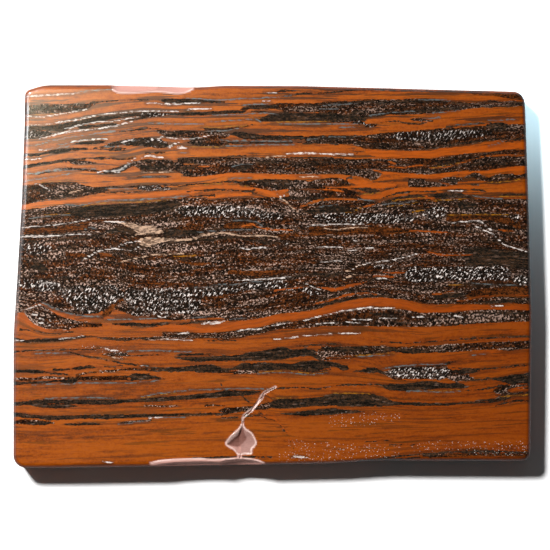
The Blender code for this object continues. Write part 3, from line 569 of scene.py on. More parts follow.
# The lenses and threads of its front half, and the few before the front edge.
FRONT_ZONE = """
black 14:412.5-416 22:413-417.5 30:414-418.5 40:415.3-419 50:415.5-420 60:415.7-420 70:415.3-419.7
  80:415-419.2 95:414.7-419 110:414.5-419 120:414.5-418.7 130:414.3-418 140:414-417.3 152:414-417
  165:413.9-416.6 180:413.5-416 195:413.3-415.6 210:413-415.3 225:412.8-415 238:413
brown 14:420.5-423.5 25:419.5-424.5 38:420-424.3 50:421.5-424.3 56:423
black 24:422.7 31:421.7-423.7 40:421.7-424 47:422-424.2 53:423
black 23:424.3 27:423.3-425 36:423.3-425.1 46:423.3-425.1 52:424.1
black 62:424.7 68:423.3-425.2 76:422.9-425.4 88:422.8-425.3 98:422.9-425.1 106:424
brown 120:423.3~ 127:422.5~1 136:421.3~0.9 146:420.7~0.8 153:420.3~
black 220:417.9~ 229:417.6~0.8 238:417~0.6
black 246:416.3~ 253:415.7~0.6 260:415~
black 259:411.3 260.5:412.5~ 263:413.7~
black 257:415.5~ 263:416.7~0.6 269:419.5~0.6 275:420.7~
black 192:458.4~ 200:457.8~0.8 214:457.2~0.8 228:456.8~0.8 240:456.5~0.7 252:456.8~0.7 264:457.2~0.7
  276:457.1~
black 360:461~ 368:460.8~0.7 375:459.8~0.8 383:458.3~0.8 393:457.2~0.8 403:456~0.8 414:455~0.8
  427:453.8~0.8 440:453~0.8 453:452.5~0.8 466:452.3~0.7 480:451.6~0.8 495:452.2~0.7 508:453~0.8
  520:453.5~0.8 529:453.3~0.6
black 420:455.5~ 432:455.2~0.7 446:454.7~0.7 460:454~0.7 480:454.5~0.7
black 365:441.7~ 375:441.2~0.6 390:440.2~
black 390:444.8~ 400:444.9~0.6 417:444.6~
black 242.5:396~ 249:402~
amber 257:408~0.6 266:415~0.7 275:419~0.7 281:425~0.8 288:433~0.8 291:440~0.6
black 279:424~ 283.5:429~0.6 288:436~
black 291:441.5~ 294:453.5~0.6
black 194:458~ 210:457.8~0.7 232:458~
black 245:457.3~ 258:457~0.7 271:457~
brown 244:407.5-411.5 250:406.3-411 256:405.5-410 262:404.5-409.5 269:402-409
ochre 172:352.5~ 186:352.2~0.6 200:352.6~ 215:353~
ochre 174:356.3~0.6 190:356.8~0.8 205:356.3~0.7 224:355~
ochre 158:372.6~0.7 180:373.4~1 200:373.7~1.2 215:374~0.9 233:373.6~0.7
rust 430:454-458 465:453.3-456.5 500:453.3-456 528:454-456.5
black 362:460.3~0.6 383:460.3~0.7 403.5:458.6~0.8 424:456.6~0.8 444.6:454.5~0.8
black 403.5:456.3~ 424:453.8~0.8 444.6:452.8~0.9 465:451.6~1 485.8:451.1~1 506:452~1 529:452.4~0.9
"""

# Veins, the fringes of the bands, and patches of white specks that are painted glints. They lie over the
# bands.
# Some of the white lines in the dark bands at the back left are painted glints as well.
VEINS = """
white 26:96.5~0.6 33:96~0.8 42:95.5~0.8 50:95~0.8 60:94.3~0.7 70:94~0.6 80:92.7~
steel 76:93~ 85:91.3~0.7 100:90~0.7 112:89.5~
white 27:116~ 38:117~0.6 48:116~0.6 58:114.5~0.6 68:112.5~0.6 80:110.5~0.6 88:109~
white 146:102.8~ 155:103.2~0.6 170:104~0.8 185:103.5~0.6 202:102.7~
steel 186:98.3~ 198:98.8~0.6 210:99.5~0.6 226:100~
white 30:125~0.6 50:124~0.6 58:122.5~0.7 66:121.4~0.9 75:119.8~0.7 85:117.8~0.7 100:114.8~0.7
  110:113.8~0.6 120:112.6~0.6 130:111.8~0.6 150:111~0.6 165:111.3~0.6 180:111.5~
white 186:109.7~ 192:109.3~0.8 199:108.9~0.7 212:108.5~
white 38:138.7~ 44:137.8~0.7 50:136~0.7 60:133.5~1 68:132~1 75:131~0.8 83:130~0.8 90:129.5~0.7
  100:128.3~0.7 110:126.5~0.8 118:125.5~0.8 125:123~0.6 133:121.4~
white 64:129.3~ 69:128.3~0.9 75:126.5~0.8 82:124.6~0.7 88:123.5~0.6 96:122~0.6 110:121.4~0.6 118:120.3~0.6
  126:118.7~0.6 134:117.5~ 142:116.3~
steel 28:146.3~ 40:144.5~0.6 50:141~0.6 60:139~0.6 70:137.5~0.6 80:136~0.6 90:134~0.6 100:133~0.7
  110:131.5~1 118:131.2~0.6
steel 58:145~ 68:143.3~0.6 80:141~0.6 90:139.8~0.6 100:139~0.6 108:138.4~
steel 104:147.3~ 112:146.6~0.6 121:145.7~0.6 127:144~0.6 133:141.3~0.6 140:139.4~
steel 122:131~ 133:129~
white 38:150.2~ 42:149.5~0.8 46:150.5~0.6
white 26:159.1~ 36:159.1~0.6 42:157.8~
steel 46:150~ 55:148~0.6 62:147~0.6 70:146.3~
steel 223:99.7~ 236:99~0.6 250:98.5~0.6 262:98~0.6 275:97.2~0.6 283:96.5~0.6 292:95.3~
steel 243:105.3~ 252:104.3~0.6 262:104~0.6 272:103.6~
steel 212:115~ 230:114.7~0.6 245:114.3~0.6 258:113.3~0.6 268:112.9~ 279:114.7~
steel 255:118.3~ 259:120.5~0.6 261:122~
steel 148:123~ 160:123.3~ 170:123.8~ 190:124~ 204:123.8~
steel 209:121.5~ 230:120.7~ 252:119.3~
gold 203:127.3~ 214:127.2~0.6 226:126.7~0.6 237:126~ 247:125.3~
steel 207:131.2~ 218:131~0.6 230:130~0.6 241:127.8~
white 166:137.3~ 172:138.3~0.7 180:138.8~0.6 188:139.3~0.6 196:138.3~0.7 205:136.3~0.7 210:134.5~0.6
  213:131.7~
white 146:142.5~ 149:141.8~0.6 152:140.2~0.6 155:138.2~
white 166.5:148.8~ 169.5:146.5~1 171.5:144.2~
white 170:148.2~ 173:144.5~0.8 178:142.2~
white 177:149~0.6 180:146.7~1.4 184:147.8~1 188:148.5~
gold 188:146.3~ 198:147~0.6 210:147~0.6 226:146.2~
steel 222:140~ 232:140.8~0.6 243:140.6~0.6 256:140.9~0.6 270:141.3~0.6 283:141.3~0.7 292:140.8~
steel 226:146~ 240:145.6~0.6 255:145~0.6 270:144.5~0.6 283:144.7~0.6 296:144.4~
steel 323:105.3~ 333:104.7~0.7 343:104.2~0.7 352:103.7~0.6 358:103.3~
steel 319:109.2~ 328:109~ 338:109~
steel 370:115.6~ 380:114~0.7 391:112.7~0.6 403:112~ 416:111~0.6
gold 272:122.3~ 282:121.9~0.6 293:121.8~0.6 305:122~0.6 318:121.4~0.6 331:121~
steel 280:123.5~ 292:123.8~0.6 303:124~0.6 316:123.8~0.6 330:123.8~0.6 345:123.8~0.6 358:123.7~
steel 340:127.2~ 349:127.5~0.6 357:127.8~
steel 306:139.7~ 313:139~0.6 320:138~
steel 324:137~ 330:137~0.6 340:137~0.6 348:137~
white 285:154~ 292:153.5~0.7 302:153.2~0.8 313:153.3~0.8 322:153.7~0.6 332:154.1~0.8 343:154.3~0.8
  354:154.5~
steel 418:100~ 428:99.8~0.7 440:99.9~0.7 452:100.7~
steel 427:113.3~ 437:112.7~0.7 447:111.7~0.6 460:110.3~
steel 422:118.5~ 432:118~0.6 440:117.5~
steel 449:126~ 458:125~0.6 468:124.3~0.6 480:123.2~
steel 488:120.7~ 500:120~0.6 518:119.5~
steel 489:146~ 493:145~0.7 498:143.8~0.7 503:141~
gold 432:168~ 440:166.5~0.6 449:164.4~0.6 459:162.7~
steel 23:172~ 29:173.3~0.7 35:173.8~0.9 41:172.3~0.9 48:170.4~0.7 58:169~0.6 67:168.4~
steel 48:172.7~ 59:170.6~0.6 70:169.9~0.6 82:169.2~0.6 96:169~
steel 22:181.3~ 35:179.5~0.6 47:177.7~0.6 60:175.5~0.6 72:173.3~
gold 43:182.7~ 52:181.7~0.6 62:181~0.6 71:180.3~
white 98:172.7~ 105:170.7~0.6 112:171~0.8 118:171.3~1.5 124:167.3~1 129:163.3~0.8 133:160~0.6 137:157.5~
white 141:158.5~ 146:156.2~0.8 152:155.8~0.9 158:157.4~1 164:157.2~
white 36:183.5~ 41:185.3~0.7 46:188~0.7 50:190.3~
peach 67:193.7~ 75:191.7~0.6 83:189.7~0.6 87:188.5~
steel 106:188.7~ 118:188.4~0.6 133:188.6~
steel 66:204.3~ 75:205.3~0.6 83:205~0.6 91:203.3~0.6 100:201.5~0.7 110:200.3~0.8 120:200~0.6 130:200~0.6
  140:199.5~0.7 150:199~0.7 160:198.2~0.6 170:197.5~0.6 180:196.8~0.7 189:195.5~
gold 80:207.3~ 90:205~0.6 105:203~0.6 120:202.3~0.6 135:202~0.6 150:201.5~0.7 163:200.5~0.6 174:199.3~
steel 28:218.6~ 38:217.3~0.6 50:216~0.6 62:215.2~0.6 71:214.8~
gold 46:215~ 57:214.4~0.6 70:213.7~
steel 178:153~ 188:152.7~
steel 140:176.5~ 153:176.4~0.6 167:176.5~
peach 141:172~ 155:172.3~0.6 165:172.2~0.6 173:171~0.6
steel 229:178.6~ 240:178.2~0.6 252:177.6~
steel 232:167~ 236:165.3~0.7 242:164.2~0.6 248:164~ 253:164.9~
peach 266:157~ 274:156.2~0.6 286:156~
gold 203:184.7~ 213:184~0.6 222:183.4~
gold 242:185.5~ 249:186~
peach 299:177.2~ 307:176.7~0.8 314:176.5~0.7 320:176.6~
peach 278:194.2~ 282:198~0.7 288:203.5~0.8 293:208~0.7 298:211.5~
gold 345:212~ 353:212.3~0.7 358:209.7~0.7 362:206.7~
steel 320:206.7~ 326:205.7~0.6 333:205~0.6 339:204.7~
gold 360:193.7~ 368:193.7~0.7 375:193.5~0.6 381:192.8~
steel 359:199.3~ 367:200.2~0.6 376:201~
steel 471:195.5~ 480:197~0.6 490:197.9~0.7 504:199~
gold 406:199.3~ 415:198.3~ 424:197.3~
white 447:191~ 457:191~0.6 466:191~
gold 447:215.3~ 465:214.8~0.6 482:214.5~0.7 497:214.5~0.6 510:214.5~
gold 411:212.5~ 417:211~0.9 423:210.3~
gold 488:182.3~ 500:182~0.6 510:181.3~0.6 520:179~
white 19:227.7~ 30:226.7~0.6 40:226.3~0.6 50:225~0.6 60:224.5~0.6 70:223~0.6 80:221~0.6 91:219.5~
white 103:221~ 110:221.5~0.6 118:221.9~0.8 128:222.5~
white 19:237~0.6 30:236~1 40:236.5~1.2 50:236~0.8 60:235.5~0.7 70:234.5~0.7 80:234~0.6 92:234~
steel 85:230~ 88:228~0.6 91:227.7~0.7 96:228.7~
white 82:261~ 85:259~0.6 89:256.7~0.7 94:254~0.6 99:251.5~0.8 104:250~0.6 111:249.2~0.6 117:247.5~0.6
  122:245~0.7 127:243~0.6 133:242~0.6 140:241~
white 112:248.5~ 118:249.3~ 126:250~0.6 134:249.5~0.6 140:246.5~
peach 116:263.5~ 124:261.3~0.6 131:259.3~0.6 138:258~0.6 145:256.7~0.6 152:255~0.6 160:254.4~0.6
  169:254.5~0.6 179:253.5~0.6 188:253.3~0.6 196:253.5~
white 42:283.6~ 50:283~1 57:284.3~
peach 112:221.6~ 118:222~0.7 126:223.8~1.6 133:226~2.5 140:229.2~3.8 146:229.8~4.3 151:230~4.4 157:231~3
  163:231.3~0.9
peach 124:240.7~ 130:237.5~0.6 136:234.9~0.7 143:233.6~0.9 151:233~1.1 160:233~
peach 138:241.5~0.8 141:241.8~2.6 144:242~4.2 148:242~4.6 153:241~4 160:240~2.5 168:239.6~1.5 177:240~1.2
  186:239.8~1 194:238.7~1 200:236~1.1 207:234.7~1.1 215:233.5~1.1 224:233.2~0.8 233:234.2~1 241:235.5~0.7
  251:236~0.8 262:235.8~0.7 272:236.2~0.6 279:237.7~
steel 198:232.3~ 207:231.4~0.6 216:230.5~0.6 226:230.3~0.6 238:230.1~0.6 257:229~
steel 233:220.8~ 241:220.4~0.6 249:220.8~0.6 256:221.8~0.6 260:224~0.6 263:226.3~
white 240:247.7~ 247:249~0.6 255:248.3~0.8 262:247.5~0.7 269:247.8~0.6
white 235:280.3~ 243:280~0.6 252:279.8~0.6 260:279.3~0.8 270:278.8~0.8 280:278~0.7 292:276.7~
white 306:226.3~ 313:225.2~0.6 320:224.7~0.7 327:224.9~0.7 335:224~0.7 345:224.4~0.6 355:224.5~0.6
  365:224.2~
peach 322:227.7~ 330:229~0.6 338:229.7~0.6 345:228.5~0.8 353:228~0.7 367:227.3~
white 352:240~ 358:241.5~0.6
white 282:246~ 288:244~0.6
white 317:247.7~ 325:247.2~0.6 333:247~0.7 342:247~
white 365:248.2~ 370:247.9~0.6 375:247.7~
white 348:250.6~ 353:250.3~0.6 359:249.8~
white 319:261.3~ 325:262~0.7 331:261.2~0.6 337:260.4~0.7 342:261~
white 352:270.3~ 358:266.7~ 365:263.9~0.6 373:262.6~0.6 382:261.3~0.6 391:260~0.6 402:258~ 418:253.5~
white 376:278.7~ 382:278.6~0.8 388:279~
peach 343:280~ 347:277.3~0.6 351:275.7~0.7 356:274.7~
white 450:222.7~ 458:222.3~ 465:221.5~0.7 472:220.9~0.8 479:220.9~0.8 484:223.5~0.7 487:227~0.7
  491:230~0.6 495:231~
white 474:226.3~ 479:227.5~0.6 483:229.5~0.6 487:231.5~0.6 491:232.7~0.7 496:236.5~0.6 501:242~0.6
  506:245.4~0.6 513:247.3~0.6 520:249.4~0.6 529:252.5~
steel 41:300.7~ 43:302.5~0.8 47:304.5~1 52:307~1 57:309.5~0.9 62:311.3~0.8 68:313.2~0.7 75:314.7~0.7
  82:315.7~0.7 90:316.3~0.7 97:316.6~0.7 105:316.8~
white 24:310.3~ 29:308.7~0.6 34:306.7~0.7 39:305.2~0.6 44:303.5~0.6
steel 107:319.7~ 115:319.3~0.6 125:319.2~0.6 140:319~0.6 157:318.4~
white 155:312.5~ 157:314.5~0.6 160:316.8~0.6 165:317~ 169:315.2~
white 57:339~ 65:338.4~0.7 74:337.8~0.6 83:335.7~
white 12:340.7~0.7 24:340.5~
steel 193:287.7~ 200:287.5~0.8 207:287.3~0.6 214:286.7~
steel 212:284.6~ 225:284.5~0.6 236:284.4~0.6 248:282.3~0.6 263:281.3~
steel 190:318~ 198:317.2~0.6 207:316.7~0.6 214:315.5~
steel 230:319.3~ 238:318.6~0.8 247:317.9~
white 201:323.7~ 206:323.2~1 213:323~1.4 220:322~1.2 225:320.7~
white 177:334~ 183:333.3~0.9 190:332.7~0.8
white 237:331.3~ 243:330~0.7 250:329.4~0.7 262:329.3~0.6
white 272:325.5~ 279:324.7~0.7 287:323.3~
white 302:320.5~ 308:319.7~0.7 315:318~0.7 322:316~0.7 329:314.2~0.7 336:312.5~0.8 344:310.9~0.9
  351:310~0.9 358:309.1~0.8 366:307.8~0.7 376:307.3~
white 375:308~ 382:308.3~0.8 389:308.4~0.7 394:308~
white 379:318~ 385:318~0.7 392:318.2~0.7 399:318.2~
white 347:321.7~ 353:322.6~0.6 362:322.5~
white 353:319.3~ 361:319.9~0.7 368:319.5~0.7 373:319~
white 316:323.9~ 325:323.4~0.6 337:322.6~
white 413:317~ 419:316.7~0.8 426:317.1~
white 447:317~ 456:315.6~0.6 463:317.7~
white 165:339.4~ 175:339.5~0.7 184:340~0.6 193:340.4~
white 274:339.4~ 280:339~0.6 286:338.3~0.6 289:338~
white 291:337.7~ 296:337~0.7 301:336.2~0.6 304:336~
white 306:336~ 311:335.4~0.6 316:335~0.6 319:334.9~
white 321:334.8~ 327:334.2~0.7 333:333.9~0.7 336:333.8~
white 338:333.7~ 345:333.4~0.8 352:333.4~0.7 360:332.8~
gold 449:285~ 458:284.8~0.7 465:284.9~
steel 470:283~ 480:283.7~0.6 492:284.5~0.6 505:284.7~0.6 518:285.1~
white 305:283.3~ 310:285.5~0.6 316:288.5~0.6 322:290.2~
white 492:306.3~ 498:305.9~0.7 503:305.6~
steel 34:353.7~ 46:353.4~0.6 60:353.2~0.6 72:352.2~
white 104:348.3~ 109:349.5~0.8 114:350.7~0.9 120:350.5~
peach 112:357~ 117:358~0.9 123:359.3~
steel 126:351.2~ 133:351.1~ 141:350.9~0.6 149:350.7~0.6 157:350.4~0.9 163:350.9~0.7 172:351.2~0.6
  181:351.6~0.6 192:352.1~
steel 32:385~ 42:384.4~0.6 55:384.1~0.6 70:384.2~0.6 80:383~0.6 93:382.9~0.6 107:382.9~0.6 120:383.2~0.6
  132:382.9~0.6 142:381.9~0.6 159:380.7~
steel 45:398.7~ 56:398.3~0.6 70:398~0.6 83:397.5~0.6 97:397.9~0.6 114:398.5~
steel 140:396.7~ 149:395.6~0.6 157:393.9~0.7 165:392.7~0.7 176:391.4~0.6 188:390.4~0.6 205:389.8~0.6
  225:389.2~0.6 245:388.5~0.6 258:388.8~0.6 272:389.4~
gold 142:398~ 152:396.7~0.6 163:394.6~0.6 176:393~
gold 258:372.5~ 268:371.7~0.6 280:371.2~0.6 291:370.8~0.6 299:372.3~0.6 308:373.2~0.6 319:373~0.6 328:371~
steel 258:373.5~ 270:373~0.6 283:372.8~0.6 294:373.2~0.6 303:374.3~0.6 315:374.3~0.6 327:372.8~
gold 356:355.7~ 365:355~0.6 375:354.4~0.6 388:353.6~0.6 395:353~
steel 358:357~ 368:356.2~0.6 380:355.3~0.6 393:354.6~
steel 381:369.5~ 388:368~0.7 396:366.7~0.7 405:365.7~0.7 418:365~0.7 431:364.5~0.6 448:363.9~
steel 405:391.7~ 415:391.1~0.7 425:391.4~0.6 435:392.1~0.6 447:392.4~0.6 462:390.5~
gold 430:390.7~ 441:390.7~0.6 452:390.3~0.6 462:389.5~
gold 334:393.5~ 344:393.3~0.6 357:393.3~0.6 372:394~
gold 273:398.7~ 283:398.1~0.6 298:398.5~
steel 471:355~ 478:354.7~0.6 488:353.2~
gold 502:396.7~ 511:396~0.7 520:395.3~0.7 529:394.8~
white 149:418~ 155:417.7~0.8 162:417.5~
steel 158:417.7~ 172:417.4~0.6 187:416.9~
steel 118:424~ 126:423.7~ 138:422~ 148:421.3~
white 103:461.7~ 107:462.3~0.8 112:462.6~
white 292:457~ 297:456.5~1.1 302:457~0.9 307:457.5~
gold 36:114.5~ 45:114.3~0.6 55:113.5~
gold 384:206.3~ 392:206~0.6 402:205.3~0.6 411:203.7~0.6 418:202~
gold 392:201.3~ 402:199.7~ 412:198.5~0.6 420:197.7~
steel 383:204.3~ 391:203.7~0.6 400:203~0.7 409:201.6~0.6 416:200.6~
gold 429:200.7~ 437:200.4~0.7 448:199.8~0.6 458:199.3~0.6 468:199.3~
gold 498:196.7~ 508:196.5~ 518:196.4~0.6 523:196~
gold 173:256.3~ 182:256.2~0.6 190:255.8~0.6 197:255.3~
steel 102:173.3~ 110:171~0.9 118:170.5~1.6 124:168~1.5 129:164~1.3 133:160.5~
white 70:142~ 82:140.3~ 95:139.3~ 108:138.6~
white 120:143~ 126:141~0.7 134:139.5~
white 146:142.5~ 150:140.5~0.9 154:137.5~0.6
white 157:141~ 161:138~0.8 165:134.5~
white 263:101~ 270:100.7~
white 264:92.5~ 270:92.6~ 277:92.5~
white 281:198.5~0.6 282.5:195.8~0.8 286:196~0.6
peach 355:268~ 360:265.5~0.7 366:264~
peach 346:277.5~0.6 345:273.5~0.6 348:270.6~0.6 352:271.3~0.6 353:275~0.6 350:277.8~0.6 346:277.5~0.6
white 39:323~ 38.5:320~ 41:317.8~ 43.8:320~ 43:323~ 39:323~
white 48:324.5~ 47.8:321.5~ 50:320~ 52.3:322~ 51.5:324.7~ 48:324.5~
white 33:314.5~0.8 37:315~1.1
white 142:365.3~ 145:365.7~0.6
white 148:366.2~0.6 151:366.3~
dust 82:343-348 95:345-352 110:347-353 120:348-361 127:352-360
dust 280:452-462 300:451-463 330:452-463 345:453-463
dust 345:455-462 365:454-461 400:452-459
dust 412:445-451 430:441-451 460:441-451 500:441-450 530:439-449
dust 470:449-455 497:448-456 528:446-454
dust 330:412-428 370:412-425 400:414-424
dust 290:440-462 330:442-458 366:444-458 400:446-456
"""

# The two pink chips, the pit with its pink floor and pale outline, and the crack that runs back from it.
# In the pit, a darker pink and, on its darkest wall, a brown are painted shade, while the full pink on its
# left wall and the pale band over that wall are painted light. The crack's pale line is its white filling,
# with painted light over its shaded wall.
SCARS = """
residue 112:85-87.5 114:84-90.5 118:84-92 124:84-92.7 132:84-92.7 142:84-92.2 152:84-91.7 160:84-91.3
  167:84-92 174:84-93 181:84-93 187:84-91.7 192:84-89.5 194:84-87
residue 226.6:443.5 230:437.5-448 235:432.5-450 238.5:429.5-453 241.5:425-455
clay 241.5:425-454.6 243.3:422.6-453.8 245.5:428.5-453.6 248:430.5-453.2 251:432.8-452.8 253.5:436.3-448
  256:442-445
residue 151:463-467 156:461.5-467 165:460.3-467 178:459.3-467 190:458.9-467 203:458.7-467 212:459.6-467
  220:459.3-467 230:458.7-467 240:458.3-467 250:458.8-467 258:460.3-467 264:462.7-467 267:465-467
pale 151:463.2~ 156:461.7~ 165:460.5~ 178:459.5~ 190:459.1~ 203:458.9~ 212:459.8~ 220:459.5~ 230:458.9~
  240:458.5~ 250:459~ 258:460.5~ 264:462.9~
pale 227.5:443-443.4 230:438.3-441 234:434.3-438 238.5:430.3-433.5 241.3:425.8-428
dusk 227.6:442.5-444.5 230:441-445.5 232:440-446 235:437-446.6 238:434.5-447 240.5:429-446.5
  242.5:425.5-444 244.5:433-442 246:436.5-440
pale 241:454.5~ 239.3:454.5~ 233.9:449.1~ 226.2:444.1~ 230.3:437.3~ 234.8:432.8~ 238.9:429.2~ 242.5:423.8~
pale 242.5:423.8~ 245.7:429.2~ 251.1:432.8~ 254.2:437.3~ 256:443.7~ 251.1:450~ 252:452.7~ 243.8:453.6~
  241:454.5~
pale 242.5:423.8~ 243.4:417~0.8 247:413~0.8 253.2:408.5~0.9 257.2:404~0.9 261.2:397~0.9 264.2:393~0.8
  269.5:389.8~0.6 276:386.5~
residue 238:453-459.5 240:453-459.5 241.5:453-459.5
pale 113:89.5~ 118:92.2~ 128:93~ 142:92.4~ 158:91.5~ 167:92.2~ 178:93.3~ 187:91.9~ 193:88.7~
"""

# Lines that run along the bedding, from the back of the slab to the front, as places x:y.
# The stone's fibres and grains follow them.
BEDDING = """
back 14:91 530:91
line 14:130 26:129 50:128.5 58:127.5 66:126 75:123.5 88:120.5 100:118.5 120:116 140:114 200:113.5
  235:111.5 270:112 330:112 400:107 450:107 530:104
line 14:155 40:154.5 62:150.5 80:149.5 120:148.5 150:143 200:142 240:143.5 300:143 350:144 400:147
  430:148.5 470:142.5 500:139 530:138
line 14:168 40:165 60:161.5 100:158 120:159.5 140:156 150:154.5 180:154 290:155 330:155 354:155.5
  385:154.5 430:154 460:150.7 490:148 530:145
line 14:188 60:186 100:187.5 150:185.5 200:183.7 245:175.5 300:177.5 330:175 385:173 416:175.5 440:176
  475:172 505:169.5 530:167.5
line 14:208.5 20:207 40:203.5 80:200.5 110:198 140:196 170:193 200:190.7 240:188.5 262:190.3 285:196
  300:199 323:200.2 348:199.8 372:196.7 396:191.2 430:189.2 475:188.7 530:186
line 14:243 60:240 92:236.5 120:240 150:246 170:242.4 200:240.3 235:238.3 268:242 300:243 360:243 450:242
  489:243 530:247
line 14:290 60:288.5 90:286 130:288 170:288 200:287.5 235:284.5 262:281.3 301:275 330:275.3 380:276
  440:274 500:273 530:277
line 14:314 30:322 45:330 60:331 90:329.5 140:329 188:328.6 212:329.3 236:325.3 255:323 276:318.5
  305:315.4 335:309 355:304.5 375:302.3 405:304 424:309.7 447:309.7 480:307 530:308.5
line 14:341 35:341 60:340 80:338 105:338.5 150:338.5 200:338.5 236:340.5 280:339 305:336.5 330:336 358:338
  405:343 445:341 482:338.2 530:336.5
line 14:371 45:371.5 70:369.3 90:366.3 113:368 135:368.5 160:369.5 200:368 245:367 285:366.3 320:366
  345:368 400:374 430:373 460:371 480:368.5 500:367 530:364
line 14:403.5 80:402 120:401.5 150:400 180:398 212:395 245:393 262:396 280:403 300:403 345:400 390:402
  435:404.7 475:402.7 500:399.5 514:393 530:391
line 14:414.5 30:416.5 50:417.5 80:417 120:416.7 165:415.3 210:414 240:413 280:414 312:413 342:411.5
  377:411.5 420:413 460:412 530:406
front 14:465 192:458.4 252:456.8 360:460 393:457.2 427:454 466:453 508:454 530:454.3
"""

BANDS = (
    DARK_MIDDLE,
    BACK_LEFT,
    BACK_EDGE,
    UPPER_ORANGE,
    MIDDLE_LINES,
    CRYSTAL_LENSES,
    CRYSTAL_LENS_THREADS,
    MIDDLE_FOOT_LEFT,
    MIDDLE_FOOT_RIGHT,
    WIDE_ORANGE_LINES,
    WIDE_ORANGE_LENSES,
    WIDE_ORANGE_RIGHT,
    FRONT_ZONE,
)

# What a kind does to the fields that the material reads: +1 spreads a field, -1 cuts it back.
KIND_RULES = {
    "ochre": {"dark": -1, "bright": -1},
    "amber": {"dark": -1, "bright": 1},
    "brown": {"dark": 1, "black": -1, "crystal": -1, "rust": -1},
    "black": {"dark": 1, "black": 1, "crystal": -1, "rust": -1},
    "rust": {"dark": 1, "rust": 1, "black": -1, "crystal": -1},
    "grain": {"dark": 1, "crystal": 1, "black": -1, "rust": -1},
}
BAND_FIELDS = ("dark", "black", "crystal", "bright", "rust")
VEIN_FIELDS = ("white", "peach", "steel", "gold", "dust", "beside")
SCAR_FIELDS = ("pale", "residue", "clay", "dusk")

# Measures of the drawing, in mm.
FIELD_REACH = 2.5  # how far from a band's edge its field goes on changing
BESIDE_REACH = 0.8  # how far beside a vein the stone is darker
THINNEST_HALF_LINE = 0.2  # half the width of the thinnest line
END_MARGIN = 0.2  # how much each end of a band reaches past its drawing

# How the bands dip into the stone: millimetres that they move along X and Y for each one of depth.
DIP = (0.8, 0.22)

# The stretch of the slab, in m along X, that holds the pit and its crack: it is cut finer.
PIT_STRETCH = (-0.0165, 0.0015)

# The Z of a normal tells the parts of the surface: it is 1 on the polished face, 0 on the sides and -1 on
# the underside.
UNDERSIDE_NORMAL = -0.99  # faces below this belong to the underside
RIM_START = 0.99  # the rim's painted shade and its matte wear start where the surface leans this much
RIM_FALL = 0.12  # and is full when the normal's Z has fallen by this much
SIDE_FALL = 0.1  # the rim's painted shade and matte wear fade out again over this much before the sides
SCAR_LEAN = 0.12  # scars show only above this
# Points less than this far above the underside, in mm, have its coarser mesh around them.
UNDERSIDE_MARGIN = 0.5


def read_strokes(drawing):
    """The strokes of a drawing, each with its kind, its x, top and bottom in mm, and if it is a band."""
    strokes = []
    for word in drawing.split():
        if ":" not in word:
            strokes.append({"kind": word, "places": [], "band": False})
            continue
        x, span = word.split(":")
        if "-" in span:
            top, bottom = map(float, span.split("-"))
            strokes[-1]["band"] = True
        elif "~" in span:
            middle, half = span.split("~")
            half = float(half) if half else THINNEST_HALF_LINE / SHEET_UNIT
            top, bottom = float(middle) - half, float(middle) + half
        else:
            top = bottom = float(span)
        strokes[-1]["places"].append((float(x), top, bottom))
    for stroke in strokes:
        x, top, bottom = np.array(stroke["places"]).T
        stroke["x"] = (x - SHEET_MIDDLE[0]) * SHEET_UNIT
        stroke["top"] = (SHEET_MIDDLE[1] - top) * SHEET_UNIT
        stroke["bottom"] = (SHEET_MIDDLE[1] - bottom) * SHEET_UNIT
    return strokes


def smooth_curve(along, values, pieces=5):
    """Points on a smooth curve through the values, given at the rising distances along it."""
    if len(along) < 3:
        return along, values
    gaps = np.diff(along)[:, None]
    slopes = np.diff(values, axis=0) / gaps
    tangents = np.concatenate([slopes[:1], slopes[1:], slopes[-1:]])
    tangents[1:-1] = (slopes[:-1] * gaps[1:] + slopes[1:] * gaps[:-1]) / (gaps[1:] + gaps[:-1])
    share = np.linspace(0.0, 1.0, pieces, endpoint=False)[None, :, None]
    start, end = values[:-1, None], values[1:, None]
    curve = (
        (1 + 2 * share) * (1 - share) ** 2 * start
        + share * (1 - share) ** 2 * (gaps * tangents[:-1])[:, None]
        + share**2 * (3 - 2 * share) * end
        + share**2 * (share - 1) * (gaps * tangents[1:])[:, None]
    )
    steps = along[:-1, None] + gaps * share[0, :, 0]
    curve = curve.reshape(-1, values.shape[1])
    return np.append(steps.ravel(), along[-1]), np.vstack([curve, values[-1:]])


def points_near(stroke, x, y):
    """The indices of the points that a stroke can reach."""
    return np.flatnonzero(
        (x > stroke["x"].min() - FIELD_REACH)
        & (x < stroke["x"].max() + FIELD_REACH)
        & (y > stroke["bottom"].min() - FIELD_REACH)
        & (y < stroke["top"].max() + FIELD_REACH)
    )


def band_distance(stroke, x, y):
    """Signed distance from the points to the edge of a band that is drawn by its two edges."""
    edges = np.column_stack([stroke["top"], stroke["bottom"]])
    along, edges = smooth_curve(stroke["x"], edges)
    top = np.interp(x, along, edges[:, 0])
    bottom = np.interp(x, along, edges[:, 1])
    steepness = np.interp(x, along, np.gradient(edges.mean(axis=1), along))
    across = np.minimum(top - y, y - bottom) / np.sqrt(1 + steepness**2)
    to_ends = np.minimum(x - along[0], along[-1] - x) + END_MARGIN
    return np.minimum(across, to_ends)


